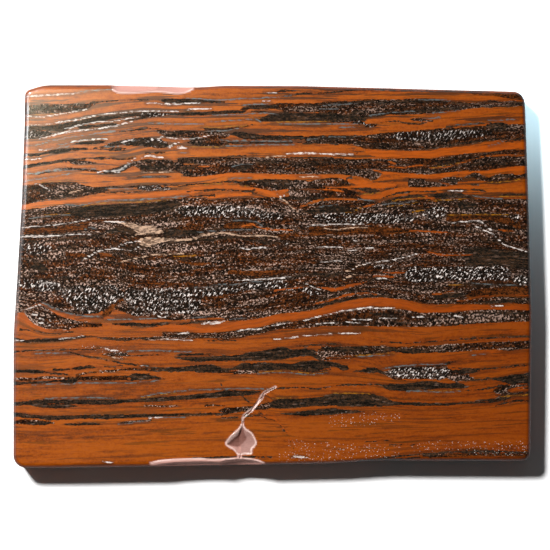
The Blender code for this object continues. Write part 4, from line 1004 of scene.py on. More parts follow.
def line_distance(stroke, x, y):
    """Signed distance from the points to the edge of a line, with its half width at the nearest place."""
    middle = (stroke["top"] + stroke["bottom"]) / 2
    half = (stroke["top"] - stroke["bottom"]) / 2
    half = np.where(half > 0, np.maximum(half, THINNEST_HALF_LINE), 0.0)
    path = np.column_stack([stroke["x"], middle, half])
    steps = np.hypot(np.diff(path[:, 0]), np.diff(path[:, 1]))
    _, path = smooth_curve(np.append(0.0, np.cumsum(steps)), path, pieces=4)
    best = np.full(len(x), -np.inf)
    best_half = np.zeros(len(x))
    for (x0, y0, half0), (x1, y1, half1) in zip(path[:-1], path[1:]):
        near_along = np.abs(x - (x0 + x1) / 2) < abs(x1 - x0) / 2 + FIELD_REACH
        near_across = np.abs(y - (y0 + y1) / 2) < abs(y1 - y0) / 2 + FIELD_REACH
        near = near_along & near_across
        px, py = x[near] - x0, y[near] - y0
        squared_length = (x1 - x0) ** 2 + (y1 - y0) ** 2
        share = np.clip((px * (x1 - x0) + py * (y1 - y0)) / squared_length, 0.0, 1.0)
        half_here = half0 + share * (half1 - half0)
        distance = half_here - np.hypot(px - share * (x1 - x0), py - share * (y1 - y0))
        closer = distance > best[near]
        best[near] = np.where(closer, distance, best[near])
        best_half[near] = np.where(closer, half_here, best_half[near])
    return best, best_half


def stroke_distance(stroke, x, y, cell):
    """Signed distance to a stroke's edge, and how much of each point's mesh cell the stroke covers."""
    if stroke["band"]:
        distance = band_distance(stroke, x, y)
        return distance, np.clip(distance / cell + 0.5, 0.0, 1.0)
    distance, half = line_distance(stroke, x, y)
    from_middle = half - distance
    low = np.maximum(-cell / 2, from_middle - half)
    high = np.minimum(cell / 2, from_middle + half)
    cover = np.clip((high - low) / cell, 0.0, 1.0)
    # Close to a line the cover gives the distance, so that a line thinner than a cell keeps its width.
    return np.where(np.abs(distance) < cell, (cover - 0.5) * cell, distance), cover


def band_fields(x, y, cell):
    """The signed distance of each point from the edges of every kind of band, in mm."""
    fields = {name: np.full(len(x), -FIELD_REACH) for name in BAND_FIELDS}
    for drawing in BANDS:
        for stroke in read_strokes(drawing):
            near = points_near(stroke, x, y)
            distance, _ = stroke_distance(stroke, x[near], y[near], cell[near])
            distance = np.clip(distance, -FIELD_REACH, FIELD_REACH)
            for name, side in KIND_RULES[stroke["kind"]].items():
                field = fields[name][near]
                fields[name][near] = (
                    np.maximum(field, distance) if side > 0 else np.minimum(field, -distance)
                )
    return fields


def cover_fields(drawing, names, x, y, cell):
    """How much of each point's mesh cell every kind of stroke in a drawing covers, from 0 to 1.

    The field "beside" rises towards every stroke but the painted glint specks, which leave the stone around
    them as it is.
    """
    fields = {name: np.zeros(len(x)) for name in names}
    for stroke in read_strokes(drawing):
        near = points_near(stroke, x, y)
        distance, cover = stroke_distance(stroke, x[near], y[near], cell[near])
        field = fields[stroke["kind"]]
        field[near] = np.maximum(field[near], cover)
        if "beside" in fields and stroke["kind"] != "dust":
            nearness = np.clip(1 + distance / BESIDE_REACH, 0.0, 1.0)
            fields["beside"][near] = np.maximum(fields["beside"][near], nearness)
    return fields


def bedding_height(x, y):
    """How far up the bedding a point lies, in mm: it stays the same along each line of BEDDING."""
    lines = [smooth_curve(line["x"], line["top"][:, None]) for line in read_strokes(BEDDING)]
    heights = np.array([np.interp(x, along, level[:, 0]) for along, level in lines])
    levels = heights.mean(axis=1)
    bedding = y - heights[0] + levels[0]
    for upper, lower, upper_level, lower_level in zip(heights[:-1], heights[1:], levels[:-1], levels[1:]):
        share = (upper - y) / (upper - lower)
        between = upper_level + share * (lower_level - upper_level)
        bedding = np.where(y < upper, between, bedding)
    return bedding


def deselect_all():
    if bpy.context.mode != "OBJECT":
        bpy.ops.object.mode_set(mode="OBJECT")
    bpy.ops.object.select_all(action="DESELECT")


def copy_of_node(node_name, piece_name):
    """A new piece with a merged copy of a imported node's mesh, selected, active and in edit mode."""
    deselect_all()
    mesh = bpy.data.objects[node_name].data.copy()
    mesh.name = piece_name
    mesh.materials.clear()
    piece = bpy.data.objects.new(piece_name, mesh)
    bpy.context.scene.collection.objects.link(piece)
    bpy.context.view_layer.objects.active = piece
    piece.select_set(True)
    bpy.ops.object.mode_set(mode="EDIT")
    bpy.ops.mesh.select_mode(type="FACE")
    bpy.ops.mesh.select_all(action="SELECT")
    bpy.ops.mesh.remove_doubles(threshold=1e-6)
    bpy.ops.mesh.dissolve_limited(angle_limit=math.radians(0.1))
    return piece


def cut_by_planes(axis, places):
    """Cuts every face that isn't hidden by planes across the axis, at the places given in mm."""
    normal = Vector((0.0, 0.0, 0.0))
    normal["XYZ".index(axis)] = 1.0
    for place in places:
        bpy.ops.mesh.select_all(action="SELECT")
        bpy.ops.mesh.bisect(plane_co=normal * (place * MM), plane_no=normal)


def places_between(low, high, spacing):
    """Places along an axis, in mm, at an even spacing near the one asked for."""
    count = round((high - low) / MM / spacing)
    return np.linspace(low / MM, high / MM, count + 1)[1:-1]


def hide_underside(piece):
    bpy.ops.object.mode_set(mode="OBJECT")
    polygons = piece.data.polygons
    normals = np.empty(len(polygons) * 3, np.float32)
    polygons.foreach_get("normal", normals)
    polygons.foreach_set("select", normals.reshape(-1, 3)[:, 2] < UNDERSIDE_NORMAL)
    bpy.ops.object.mode_set(mode="EDIT")
    bpy.ops.mesh.hide(unselected=False)


def cut_fine_mesh(piece, row, column, layer):
    """Cuts the piece into fine rows along the bedding, twice as coarse on the underside."""
    rows = places_between(LOWEST.y, HIGHEST.y, row)
    columns = places_between(LOWEST.x, HIGHEST.x, column)
    cut_by_planes("Z", places_between(LOWEST.z, HIGHEST.z, layer))
    cut_by_planes("Y", rows[::2])
    cut_by_planes("X", columns[::2])
    hide_underside(piece)
    cut_by_planes("Y", rows[1::2])
    cut_by_planes("X", columns[1::2])
    cut_by_planes("X", places_between(*PIT_STRETCH, row))
    bpy.ops.mesh.reveal()
    bpy.ops.mesh.select_all(action="SELECT")
    bpy.ops.mesh.quads_convert_to_tris(quad_method="BEAUTY", ngon_method="BEAUTY")
    bpy.ops.object.mode_set(mode="OBJECT")


def points_of(mesh):
    """The mesh's points, in mm, one row each."""
    points = np.empty(len(mesh.vertices) * 3)
    mesh.vertices.foreach_get("co", points)
    return points.reshape(-1, 3) / MM


def draw_stone(mesh, row):
    """Works out every field of the stone at the mesh's points and keeps each one as an attribute."""
    points = points_of(mesh)
    depth = THICKNESS - points[:, 2]
    x = points[:, 0] + DIP[0] * depth
    y = points[:, 1] + DIP[1] * depth
    cell = np.where(depth > THICKNESS - UNDERSIDE_MARGIN, 2 * row, row)
    upward = np.array([normal.vector.z for normal in mesh.vertex_normals])

    fields = band_fields(x, y, cell)
    fields.update(cover_fields(VEINS, VEIN_FIELDS, x, y, cell))
    fields["bedding"] = bedding_height(x, y)
    # The rim field darkens the rim with painted shade and makes it matte.
    rim_lean = np.clip((RIM_START - upward) / RIM_FALL, 0.0, 1.0)
    fields["rim"] = rim_lean * np.clip(upward / SIDE_FALL, 0.0, 1.0)
    scars = cover_fields(SCARS, SCAR_FIELDS, points[:, 0], points[:, 1], cell)
    fields.update({name: np.where(upward > SCAR_LEAN, cover, 0.0) for name, cover in scars.items()})
    for name, values in fields.items():
        attribute = mesh.attributes.new(name, "FLOAT", "POINT")
        attribute.data.foreach_set("value", np.ascontiguousarray(values, np.float32))


class Nodes:
    """A material's node tree, with short calls that add a node and hand back its output."""

    def __init__(self, tree):
        self.tree = tree

    def add(self, kind, **inputs):
        """A new node, with its inputs set by name: _ stands for a space."""
        node = self.tree.nodes.new(kind)
        for name, value in inputs.items():
            self.plug(node.inputs[name.replace("_", " ")], value)
        return node

    def plug(self, socket, value):
        if isinstance(value, bpy.types.NodeSocket):
            self.tree.links.new(value, socket)
        else:
            socket.default_value = value

    def attribute(self, name):
        node = self.add("ShaderNodeAttribute")
        node.attribute_name = name
        return node.outputs["Fac"]

    def maths(self, operation, *values):
        node = self.add("ShaderNodeMath")
        node.operation = operation
        for socket, value in zip(node.inputs, values):
            self.plug(socket, value)
        return node.outputs["Value"]

    def times(self, first, second):
        return self.maths("MULTIPLY", first, second)

    def plus_part(self, value, part, weight):
        """The value plus the part times its weight."""
        return self.maths("MULTIPLY_ADD", part, weight, value)

    def between(self, share, low, high):
        """A number that runs from low to high as the share runs from 0 to 1."""
        return self.maths("MULTIPLY_ADD", share, high - low, low)

    def blend(self, *parts):
        """The weighted sum of values, each part a value and its weight."""
        total = self.times(*parts[0])
        for value, weight in parts[1:]:
            total = self.plus_part(total, value, weight)
        return total

    def step(self, value, low, high):
        """0 below low, 1 above high and a smooth rise between."""
        node = self.add("ShaderNodeMapRange", Value=value, From_Min=low, From_Max=high)
        node.interpolation_type = "SMOOTHSTEP"
        return node.outputs["Result"]

    def noise(self, place, detail, **options):
        """Soft noise from 0 to 1."""
        node = self.add("ShaderNodeTexNoise", Vector=place, Scale=1.0, Detail=detail, **options)
        return node.outputs["Fac"]

    def cells(self, place):
        """The nearest of a crowd of scattered middles: how far it is, and a random value of its own."""
        node = self.add("ShaderNodeTexVoronoi", Vector=place, Scale=1.0, Randomness=1.0)
        split = self.add("ShaderNodeSeparateColor", Color=node.outputs["Color"])
        return node.outputs["Distance"], split.outputs["Red"]

    def ramp(self, value, *stops):
        """A colour that runs through the stops, each a place from 0 to 1 and a colour."""
        node = self.add("ShaderNodeValToRGB", Fac=value)
        elements = node.color_ramp.elements
        while len(elements) < len(stops):
            elements.new(0.5)
        for element, (place, _) in zip(elements, stops):
            element.position = place
        for element, (_, colour) in zip(elements, stops):
            element.color = (*colour, 1.0)
        return node.outputs["Color"]

    def mix(self, share, first, second, blend="MIX"):
        """The first colour, with a share of the second over it."""
        node = self.add("ShaderNodeMix")
        node.data_type = "RGBA"
        node.blend_type = blend
        self.plug(node.inputs["Factor"], share)
        for socket, colour in zip((node.inputs[6], node.inputs[7]), (first, second)):
            self.plug(socket, (*colour, 1.0) if isinstance(colour, tuple) else colour)
        return node.outputs[2]

    def tinted(self, colour, tint):
        """The colour multiplied by the tint."""
        return self.mix(1.0, colour, tint, "MULTIPLY")


# The sizes of the stone's textures, in mm along the bedding, across it and down into the stone.
FLECK_SIZE = (1.5, 0.8, 1.5)
FIBRE_SIZE = (6.0, 0.9, 4.0)
THREAD_SIZE = (34.0, 1.3, 14.0)
HAIR_SIZE = (22.0, 1.15, 9.0)
LONG_BAND_SIZE = (60.0, 3.4, 25.0)
CLOUD_SIZE = (16.0, 3.0, 12.0)
GRAIN_SIZE = (0.5, 0.42, 0.5)
SLIVER_SIZE = (1.3, 0.36, 1.0)
PEPPER_SIZE = (0.7, 0.5, 0.8)
NEEDLE_SIZE = (0.65, 1.1, 0.8)
GLINT_SPECK_SIZE = (0.64, 0.52, 0.64)
# How far the needles of crystal lean: mm along the bedding for each one across it.
NEEDLE_LEAN = -0.5

# Where the colours change, in mm: the first place has none of the change and the second has all of it.
RIGHT_SHADE_SPAN = (-95.0, 110.0)  # along X: painted shade that deepens the orange, darkens the brown and rust and thins their specks
FRONT_SHADE_FADE = (0.0, 25.0)  # up the bedding: the painted shade on the orange fades out towards the back
THREADS_THICKEN = (-35.0, 25.0)  # up the bedding: darker threads
BACK_BANDS = (26.0, 38.0)  # up the bedding: fewer specks and needles
NEAR_DARK = (-2.4, 0.3)  # across the edge of a dark band: more threads and hairs

# Where a texture turns into a mark: below the first value there is none, above the second it is full.
THREADS = (0.565, 0.59)
HAIRS = (0.61, 0.66)
AMBER_FIBRES = (0.4, 0.56)
RUSTY_CLOUDS = (0.44, 0.58)
SPECKS = (0.56, 0.74)
GLINTS = (0.92, 1.04)
NEEDLES = (0.56, 0.69)
MOTTLES = (0.45, 0.95)
LINE_BODY = (0.1, 0.3)
GLINT_SPECK_PATCHES = (0.35, 0.6)
GLINT_SPECK_PICKED = (0.95, 1.5)
GLINT_SPECK_CORE_TO_RIM = (0.05, 0.36)
# How much a ragged line's cover has to rise from its breaks to be whole.
BREAK_WIDTH = 0.25

# Painted shade: this tint darkens the orange towards the front, where the light falls off.
FRONT_SHADE_TINT = (0.765, 0.71, 0.62)
# Painted shade: this tint darkens the rim where it rolls over.
RIM_SHADE_TINT = (0.55, 0.5, 0.5)


class Stone(Nodes):
    """The nodes of tiger iron: its textures first, then each kind of stone and what lies over them."""

    def __init__(self, tree, colours):
        super().__init__(tree)
        self.colours = colours
        place = self.add("ShaderNodeTexCoord").outputs["Object"]
        split = self.add("ShaderNodeSeparateXYZ", Vector=place)
        self.x, self.z = (self.maths("DIVIDE", split.outputs[axis], MM) for axis in "XZ")
        self.bed = self.attribute("bedding")
        self.flecks = self.grain(FLECK_SIZE, 2.0)
        self.fibres = self.grain(FIBRE_SIZE, 3.0)
        self.threads = self.grain(THREAD_SIZE, 4.0)
        self.hairs = self.grain(HAIR_SIZE, 3.0)
        self.long_bands = self.grain(LONG_BAND_SIZE, 4.0)
        self.clouds = self.grain(CLOUD_SIZE, 4.0)
        _, self.grains = self.cells(self.place(GRAIN_SIZE))
        _, self.slivers = self.cells(self.place(SLIVER_SIZE))
        self.right = self.step(self.x, *RIGHT_SHADE_SPAN)
        self.quiet = self.between(self.step(self.bed, *BACK_BANDS), 1.0, 0.6)
        self.waver = self.maths("SUBTRACT", self.blend((self.flecks, 0.9), (self.fibres, 1.1)), 1.0)

    def place(self, sizes, lean=0.0):
        """A point for a texture, with each way through the stone divided by the size of its features."""
        along = self.plus_part(self.x, self.bed, lean) if lean else self.x
        node = self.add("ShaderNodeCombineXYZ")
        for socket, distance, size in zip(node.inputs, (along, self.bed, self.z), sizes):
            self.plug(socket, self.maths("DIVIDE", distance, size))
        return node.outputs["Vector"]

    def grain(self, sizes, detail):
        """Noise with features of the given sizes."""
        return self.noise(self.place(sizes), detail, Roughness=0.6)

    def tone(self, name, factor=1.0):
        """One of the stone's colours, darker or lighter by a factor."""
        return tuple(min(channel * factor, 1.0) for channel in self.colours[name])

    def inside(self, name, softness=0.1):
        """1 inside the bands of a field and 0 outside, with a fibrous edge."""
        distance = self.maths("ADD", self.attribute(name), self.waver)
        return self.step(distance, -softness, softness)

    def over(self, name, share=0.9, breaks=0.4):
        """The cover of a line: ragged at its edges, broken where it is thin, and mottled."""
        cover = self.attribute(name)
        ragged = self.plus_part(cover, self.maths("SUBTRACT", self.flecks, 0.5), 1.3)
        ragged = self.step(ragged, breaks, breaks + BREAK_WIDTH)
        mottle = self.step(self.blend((self.slivers, 0.6), (self.flecks, 0.8)), *MOTTLES)
        whole = self.times(ragged, self.step(cover, *LINE_BODY))
        return self.times(whole, self.times(self.between(mottle, 0.15, 0.95), share))

    def orange(self):
        """Ochre with dark threads and golden hairs, and clean amber stripes, darkened towards the front and
        the right end as painted shade.
        """
        near_dark = self.step(self.attribute("dark"), *NEAR_DARK)
        streaks = ((self.long_bands, 0.5), (self.fibres, 0.3), (self.grains, 0.06), (self.flecks, 0.14))
        ochre = self.ramp(
            self.blend(*streaks),
            (0.38, self.tone("ochre", 0.5)),
            (0.46, self.tone("ochre")),
            (0.56, self.tone("bright_ochre")),
        )
        threads = self.step(self.plus_part(self.threads, near_dark, 0.06), *THREADS)
        threads_share = self.between(self.step(self.bed, *THREADS_THICKEN), 0.4, 0.75)
        ochre = self.mix(self.times(threads, threads_share), ochre, self.tone("brown", 0.4))
        hairs = self.step(self.plus_part(self.hairs, near_dark, 0.04), *HAIRS)
        ochre = self.mix(self.times(hairs, 0.5), ochre, self.tone("gold", 0.3))
        fibres = self.step(self.fibres, *AMBER_FIBRES)
        amber = self.mix(fibres, self.tone("amber", 0.75), self.tone("amber"))
        orange = self.mix(self.inside("bright"), ochre, amber)
        # Painted shade: the orange darkens towards the front and the right end, where the light falls off.
        front_shaded = self.tinted(orange, FRONT_SHADE_TINT)
        orange = self.mix(self.step(self.bed, *FRONT_SHADE_FADE), front_shaded, orange)
        return self.mix(self.right, orange, self.tinted(orange, self.tone("right_end")))

    def brown(self):
        """Black, brown and rusty fibres, peppered with pale specks in their lively parts, and darkened with
        fewer specks towards the right end as painted shade.
        """
        weave = self.blend((self.fibres, 0.35), (self.hairs, 0.15), (self.flecks, 0.3), (self.grains, 0.2))
        earthy = self.ramp(
            weave,
            (0.42, self.tone("brown", 0.04)),
            (0.52, self.tone("brown", 0.4)),
            (0.64, self.tone("brown")),
        )
        rusty = self.ramp(
            weave,
            (0.42, self.tone("rust", 0.06)),
            (0.52, self.tone("rust", 0.6)),
            (0.64, self.tone("rust", 2.4)),
        )
        brown = self.mix(self.times(self.step(self.clouds, *RUSTY_CLOUDS), 0.9), earthy, rusty)
        # Painted shade: the brown darkens and its specks thin out towards the right end.
        brown = self.mix(self.times(self.right, 0.45), brown, self.tone("hematite", 0.5))
        pepper = self.noise(self.place(PEPPER_SIZE), 1.0, Distortion=0.4)
        salt = self.blend((pepper, 0.75), (self.grains, 0.2), (self.clouds, -0.45), (self.hairs, 0.5))
        lively = self.times(self.between(self.right, 1.0, 0.55), self.quiet)
        return self.mix(self.times(self.step(salt, *SPECKS), lively), brown, self.tone("speck"))

    def rust(self):
        """Red-brown streaks without specks, darkened towards the right end as painted shade."""
        streaks = self.ramp(
            self.blend((self.threads, 0.4), (self.fibres, 0.4), (self.grains, 0.2)),
            (0.4, self.tone("rust", 0.1)),
            (0.5, self.tone("rust", 0.7)),
            (0.62, self.tone("rust", 2.4)),
        )
        # Painted shade: the rust darkens towards the right end.
        return self.mix(self.times(self.right, 0.35), streaks, self.tone("hematite", 0.5))

    def black(self):
        """Hematite with brown and grey fibres along the bedding and a few glints."""
        weave = self.blend((self.fibres, 0.5), (self.hairs, 0.2), (self.flecks, 0.15), (self.grains, 0.15))
        black = self.ramp(
            weave,
            (0.4, self.tone("hematite", 0.35)),
            (0.5, self.tone("hematite", 1.6)),
            (0.6, self.tone("brown", 0.75)),
        )
        glints = self.step(self.blend((self.slivers, 0.8), (self.fibres, 0.4)), *GLINTS)
        return self.mix(self.times(glints, 0.15), black, self.tone("speck"))

    def crystal(self, brown):
        """Short white needles that lean over the bedding, on black with some brown in it."""
        ground = self.mix(0.3, self.tone("hematite", 0.4), brown)
        lengths = self.noise(self.place(NEEDLE_SIZE, NEEDLE_LEAN), 1.0, Distortion=0.3)
        needles = self.step(self.blend((lengths, 0.85), (self.grains, 0.15)), *NEEDLES)
        return self.mix(self.times(needles, self.quiet), ground, self.tone("quartz"))

    def bands(self):
        """Every kind of stone in its place."""
        brown = self.brown()
        dark = self.mix(self.inside("rust"), brown, self.rust())
        dark = self.mix(self.inside("black"), dark, self.black())
        dark = self.mix(self.inside("crystal", softness=0.3), dark, self.crystal(brown))
        return self.mix(self.inside("dark"), self.orange(), dark)

    def veins(self, colour):
        """The veins and the fringes of the bands, with the stone a little darker beside them."""
        beside = self.times(self.attribute("beside"), 0.5)
        colour = self.mix(beside, colour, self.tone("brown", 0.25))
        colour = self.mix(self.over("gold"), colour, self.tone("gold"))
        steel = self.over("steel", share=1.1)
        colour = self.mix(steel, colour, self.tone("steel"))
        colour = self.mix(self.over("peach"), colour, self.tone("peach"))
        colour = self.mix(self.over("white", breaks=0.42), colour, self.tone("quartz"))
        return colour, steel

    def dust(self, colour):
        """Painted glints: white specks that stand in for light glinting off the polish, packed where the
        drawing marks them thickly.
        """
        distance, pick = self.cells(self.place(GLINT_SPECK_SIZE))
        grains = self.maths("SUBTRACT", 1.0, self.step(distance, *GLINT_SPECK_CORE_TO_RIM))
        grains = self.times(grains, self.step(self.flecks, *GLINT_SPECK_PATCHES))
        picked = self.step(self.plus_part(pick, self.attribute("dust"), 0.8), *GLINT_SPECK_PICKED)
        return self.mix(self.times(grains, picked), colour, self.tone("quartz"))

    def scars(self, colour):
        """Painted shade on the rim, the pink dust on the floors of the chips and the pit with painted shade
        and painted light on the pit's walls, and the pale edges of the chips, the pit and its crack.
        """
        # Painted shade darkens the rim.
        colour = self.mix(self.attribute("rim"), colour, self.tinted(colour, RIM_SHADE_TINT))
        colour = self.mix(self.attribute("residue"), colour, self.tone("residue"))
        # Painted shade: a darker pink inside the pit, and a brown on its darkest wall.
        colour = self.mix(self.attribute("clay"), colour, self.tone("residue", 0.62))
        colour = self.mix(self.attribute("dusk"), colour, self.tone("dusk"))
        # The pale field holds the pale edges of the chips and the pit, and painted light on the pit's
        # shaded left wall and on the crack's shaded wall.
        pale = self.mix(0.5, self.tone("residue", 1.5), self.tone("quartz"))
        return self.mix(self.attribute("pale"), colour, pale)

    def roughness(self, residue):
        """Glossy stone, a little glossier where it is dark, with a matte rim and matte dusty floors."""
        gloss = self.between(self.inside("dark"), 0.21, 0.11)
        gloss = self.plus_part(gloss, self.slivers, 0.04)
        rough = self.maths("MAXIMUM", gloss, self.times(residue, 0.85))
        return self.maths("MAXIMUM", rough, self.times(self.attribute("rim"), 0.6))

    def crumbs(self, residue):
        """The normal of a surface that is rough with crumbs where it is dusty."""
        height = self.times(residue, self.blend((self.grains, 0.6), (self.flecks, 1.0)))
        return self.add("ShaderNodeBump", Height=height, Strength=0.6, Distance=0.2 * MM).outputs["Normal"]


def stone_material(colours):
    """Tiger iron: bands of orange jasper and tiger's eye, dark hematite and speckled crystal."""
    material = bpy.data.materials.new("polished_tiger_iron")
    material.use_nodes = True
    shader = material.node_tree.nodes["Principled BSDF"]
    stone = Stone(material.node_tree, colours)
    colour, steel = stone.veins(stone.bands())
    residue = stone.maths("MAXIMUM", stone.attribute("residue"), stone.attribute("clay"))
    stone.plug(shader.inputs["Base Color"], stone.scars(stone.dust(colour)))
    stone.plug(shader.inputs["Roughness"], stone.roughness(residue))
    stone.plug(shader.inputs["Metallic"], stone.times(steel, 0.4))
    stone.plug(shader.inputs["Normal"], stone.crumbs(residue))
    return material


def linear(red, green, blue):
    """A scene colour from the 0 to 255 values that a screen shows."""
    return tuple(
        value / 255 / 12.92 if value <= 10.3 else ((value / 255 + 0.055) / 1.055) ** 2.4
        for value in (red, green, blue)
    )


def tint_property(name, description, tint):
    return bpy.props.FloatVectorProperty(
        name=name, description=description, default=tint, subtype="COLOR", size=3, min=0.0, max=1.0
    )


def colour_property(name, description, red, green, blue):
    return tint_property(name, description, linear(red, green, blue))


def length_property(name, description, millimetres):
    return bpy.props.FloatProperty(
        name=name, description=description, default=millimetres * MM, min=0.1 * MM, unit="LENGTH"
    )


def power_property(name, description, watts):
    return bpy.props.FloatProperty(name=name, description=description, default=watts, min=0.0, unit="POWER")


class StoneColours(bpy.types.PropertyGroup):
    """The colours of the stone's bands, veins and grains."""

    ochre: colour_property("Ochre", "The usual colour of the orange bands", 154, 72, 0)
    bright_ochre: colour_property("Bright ochre", "The lightest streaks of the orange bands", 176, 88, 6)
    amber: colour_property("Amber", "The clean bright orange stripes", 184, 86, 0)
    # Painted shade: this tint darkens the orange towards the right end, where the light falls off.
    right_end: colour_property("Right end", "Tint that deepens the orange at the right end", 212, 200, 165)
    brown: colour_property("Brown", "The speckled brown bands", 78, 52, 34)
    rust: colour_property("Rust", "Red-brown streaks in the brown bands", 78, 38, 10)
    hematite: colour_property("Hematite", "The black lenses and lines", 26, 20, 14)
    steel: colour_property("Steel", "Blue-grey lines of hematite", 106, 110, 110)
    gold: colour_property("Gold", "Golden fringes of the dark bands", 150, 96, 16)
    quartz: colour_property("Quartz", "White veins and the brightest crystals", 226, 214, 206)
    peach: colour_property("Peach", "Pale orange veins", 204, 168, 140)
    speck: colour_property("Speck", "The lightest grains in the brown bands", 190, 158, 142)
    residue: colour_property("Residue", "Pink dust left in the chips and the pit", 182, 132, 120)
    # Painted shade on the darkest wall of the pit.
    dusk: colour_property("Dusk", "The brown floor of the pit", 112, 66, 54)


class SlabSettings(bpy.types.PropertyGroup):
    """How finely the slab's faces are cut to carry the drawing."""

    row: length_property("Row", "Spacing of the mesh across the bedding", 0.4)
    column: length_property("Column", "Spacing of the mesh along the bedding", 1.15)
    layer: length_property("Layer", "Spacing of the mesh down the sides", 1.0)


class StageSettings(bpy.types.PropertyGroup):
    """The floor, the lights and the camera."""

    camera_height: length_property("Camera height", "Height of the camera over the polished face", 900.0)
    frame_width: length_property("Frame width", "Width of stone that the picture spans", 191.0)
    key_power: power_property("Key light", "Power of the key light", 25.0)
    sheen_power: power_property("Sheen light", "Power of the light that hazes the polish", 2.1)
    sheen_tint: tint_property("Sheen tint", "Colour of the light that hazes the polish", (1.0, 0.88, 0.64))
    rim_power: power_property("Rim light", "Power of the light that edges the rim", 3.2)
    fill_power: power_property("Floor fill", "Power of the light that opens the shadow", 0.018)
    fill_tint: tint_property("Fill tint", "Colour of the light that opens the shadow", (0.6, 0.88, 1.0))
    room_light: bpy.props.FloatProperty(
        name="Room light", description="Strength of the soft light from all around", default=0.04, min=0.0
    )
    floor: colour_property("Floor", "Colour of the floor", 250, 250, 250)


class OBJECT_OT_polished_slab(bpy.types.Operator):
    """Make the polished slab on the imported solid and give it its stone"""

    bl_idname = "object.polished_slab"
    bl_label = "Polished slab"

    def execute(self, context):
        settings = context.scene.slab_settings
        row = settings.row / MM
        piece = copy_of_node(SLAB_NODE, "polished_slab")
        cut_fine_mesh(piece, row, settings.column / MM, settings.layer / MM)
        draw_stone(piece.data, row)
        bpy.ops.object.shade_smooth_by_angle(angle=math.radians(35))
        colours = context.scene.stone_colours
        names = StoneColours.__annotations__
        piece.data.materials.append(stone_material({name: tuple(getattr(colours, name)) for name in names}))
        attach(piece, "root")
        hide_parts(SLAB_NODE)
        return {"FINISHED"}


# The key light: its direction over the floor, counted from +X, its height as an angle, its distance in m
# and its size in m.
KEY_DIRECTION = math.radians(132.0)
KEY_ELEVATION = math.radians(51.8)
KEY_DISTANCE = 1.2
KEY_SIZE = 0.17
KEY_PLACE = KEY_DISTANCE * Vector(
    (
        math.cos(KEY_ELEVATION) * math.cos(KEY_DIRECTION),
        math.cos(KEY_ELEVATION) * math.sin(KEY_DIRECTION),
        math.sin(KEY_ELEVATION),
    )
)
# The light that the polish mirrors as a haze over the back left corner, in m.
SHEEN_PLACE = (-0.228, 0.187, 0.94)
SHEEN_TARGET = (-0.03, 0.02, 0.0)
SHEEN_SIZE = 0.12
# The long narrow light that the left rim mirrors as a bright line, in m.
RIM_PLACE = (-0.406, 0.112, 0.33)
RIM_TARGET = (-0.088, 0.06, 0.011)
RIM_SIZE = 0.08
RIM_LENGTH = 0.5
# The small light over the back right corner that fades the shadow there, in m. It lights the floor alone.
FILL_PLACE = (0.1, 0.067, 0.035)
FILL_TARGET = (0.1, 0.067, 0.0)
FILL_SIZE = 0.02

FLOOR_SIZE = 1.6
# The slab's middle in the picture, in pixels right of and below the picture's own middle.
MIDDLE_OFFSET_RIGHT = -2.5
MIDDLE_OFFSET_DOWN = 1.4
PICTURE_WIDTH = 550


def aim(thing, target):
    """Turns a light or a camera to look at a target point."""
    thing.rotation_euler = (Vector(target) - thing.location).to_track_quat("-Z", "Y").to_euler()


def area_light(name, place, target, size, power, tint=(1.0, 1.0, 1.0), length=None):
    """A round light, or a strip where a length is given."""
    light = bpy.data.lights.new(name, "AREA")
    light.shape = "RECTANGLE" if length else "DISK"
    light.size = size
    light.size_y = length or size
    light.energy = power
    light.color = tint
    lamp = bpy.data.objects.new(name, light)
    bpy.context.scene.collection.objects.link(lamp)
    lamp.location = place
    aim(lamp, target)
    return lamp


def plain_floor(colour):
    """A matte paper floor under the slab."""
    deselect_all()
    bpy.ops.mesh.primitive_plane_add(size=FLOOR_SIZE, location=(0, 0, LOWEST.z))
    floor = bpy.context.object
    floor.name = "floor"
    bpy.ops.object.transform_apply(location=True, rotation=True, scale=True)
    material = bpy.data.materials.new("floor_paper")
    material.use_nodes = True
    shader = material.node_tree.nodes["Principled BSDF"]
    shader.inputs["Base Color"].default_value = (*colour, 1.0)
    shader.inputs["Roughness"].default_value = 0.9
    shader.inputs["Specular IOR Level"].default_value = 0.1
    floor.data.materials.append(material)
    return floor


def studio_lights(settings, floor):
    """The key light, two lights that only show as reflections and one that lights the floor alone."""
    area_light("key_light", KEY_PLACE, (0, 0, 0), KEY_SIZE, settings.key_power)
    sheen = area_light(
        "sheen_light", SHEEN_PLACE, SHEEN_TARGET, SHEEN_SIZE, settings.sheen_power, settings.sheen_tint
    )
    rim = area_light("rim_light", RIM_PLACE, RIM_TARGET, RIM_SIZE, settings.rim_power, length=RIM_LENGTH)
    for lamp in (sheen, rim):
        lamp.visible_diffuse = False
    fill = area_light(
        "floor_fill", FILL_PLACE, FILL_TARGET, FILL_SIZE, settings.fill_power, settings.fill_tint
    )
    receivers = bpy.data.collections.new("floor_only")
    receivers.objects.link(floor)
    fill.light_linking.receiver_collection = receivers


def soft_room(strength):
    """White light from all around."""
    world = bpy.data.worlds.new("soft_room")
    world.use_nodes = True
    background = world.node_tree.nodes["Background"]
    background.inputs["Color"].default_value = (1.0, 1.0, 1.0, 1.0)
    background.inputs["Strength"].default_value = strength
    bpy.context.scene.world = world


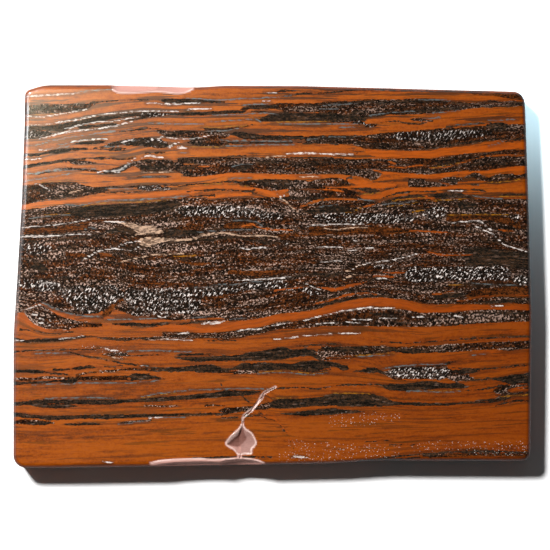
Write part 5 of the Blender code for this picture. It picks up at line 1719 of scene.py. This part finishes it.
def camera_above(height, width):
    """A camera that looks straight down on the polished face, at the given height over it."""
    camera_data = bpy.data.cameras.new("camera")
    camera_data.type = "PERSP"
    camera_data.sensor_fit = "HORIZONTAL"
    camera_data.lens = camera_data.sensor_width * height / width
    camera = bpy.data.objects.new("camera", camera_data)
    bpy.context.scene.collection.objects.link(camera)
    pixel = width / PICTURE_WIDTH
    camera.location = (-MIDDLE_OFFSET_RIGHT * pixel, MIDDLE_OFFSET_DOWN * pixel, HIGHEST.z + height)
    bpy.context.scene.camera = camera


class SCENE_OT_stone_stage(bpy.types.Operator):
    """Lay the floor, set the lights and place the camera straight above the slab"""

    bl_idname = "scene.stone_stage"
    bl_label = "Stage"

    def execute(self, context):
        settings = context.scene.stage_settings
        floor = plain_floor(settings.floor)
        studio_lights(settings, floor)
        soft_room(settings.room_light)
        camera_above(settings.camera_height, settings.frame_width)
        context.scene.view_settings.view_transform = "Standard"
        return {"FINISHED"}


class VIEW3D_PT_tiger_iron(bpy.types.Panel):
    """The slab, its stage and their settings"""

    bl_label = "Tiger iron slab"
    bl_space_type = "VIEW_3D"
    bl_region_type = "UI"
    bl_category = "Stone"

    def draw(self, context):
        scene = context.scene
        groups = (
            (OBJECT_OT_polished_slab, (scene.slab_settings, scene.stone_colours)),
            (SCENE_OT_stone_stage, (scene.stage_settings,)),
        )
        for operator, group in groups:
            box = self.layout.box()
            for settings in group:
                for name in type(settings).__annotations__:
                    box.prop(settings, name)
            box.operator(operator.bl_idname)


CLASSES = (
    StoneColours,
    SlabSettings,
    StageSettings,
    OBJECT_OT_polished_slab,
    SCENE_OT_stone_stage,
    VIEW3D_PT_tiger_iron,
)


def register():
    for each in CLASSES:
        bpy.utils.register_class(each)
    bpy.types.Scene.stone_colours = bpy.props.PointerProperty(type=StoneColours)
    bpy.types.Scene.slab_settings = bpy.props.PointerProperty(type=SlabSettings)
    bpy.types.Scene.stage_settings = bpy.props.PointerProperty(type=StageSettings)


def unregister():
    del bpy.types.Scene.stage_settings
    del bpy.types.Scene.slab_settings
    del bpy.types.Scene.stone_colours
    for each in reversed(CLASSES):
        bpy.utils.unregister_class(each)


def main():
    register()
    bpy.ops.object.polished_slab()
    bpy.ops.scene.stone_stage()


if __name__ == "__main__":
    main()
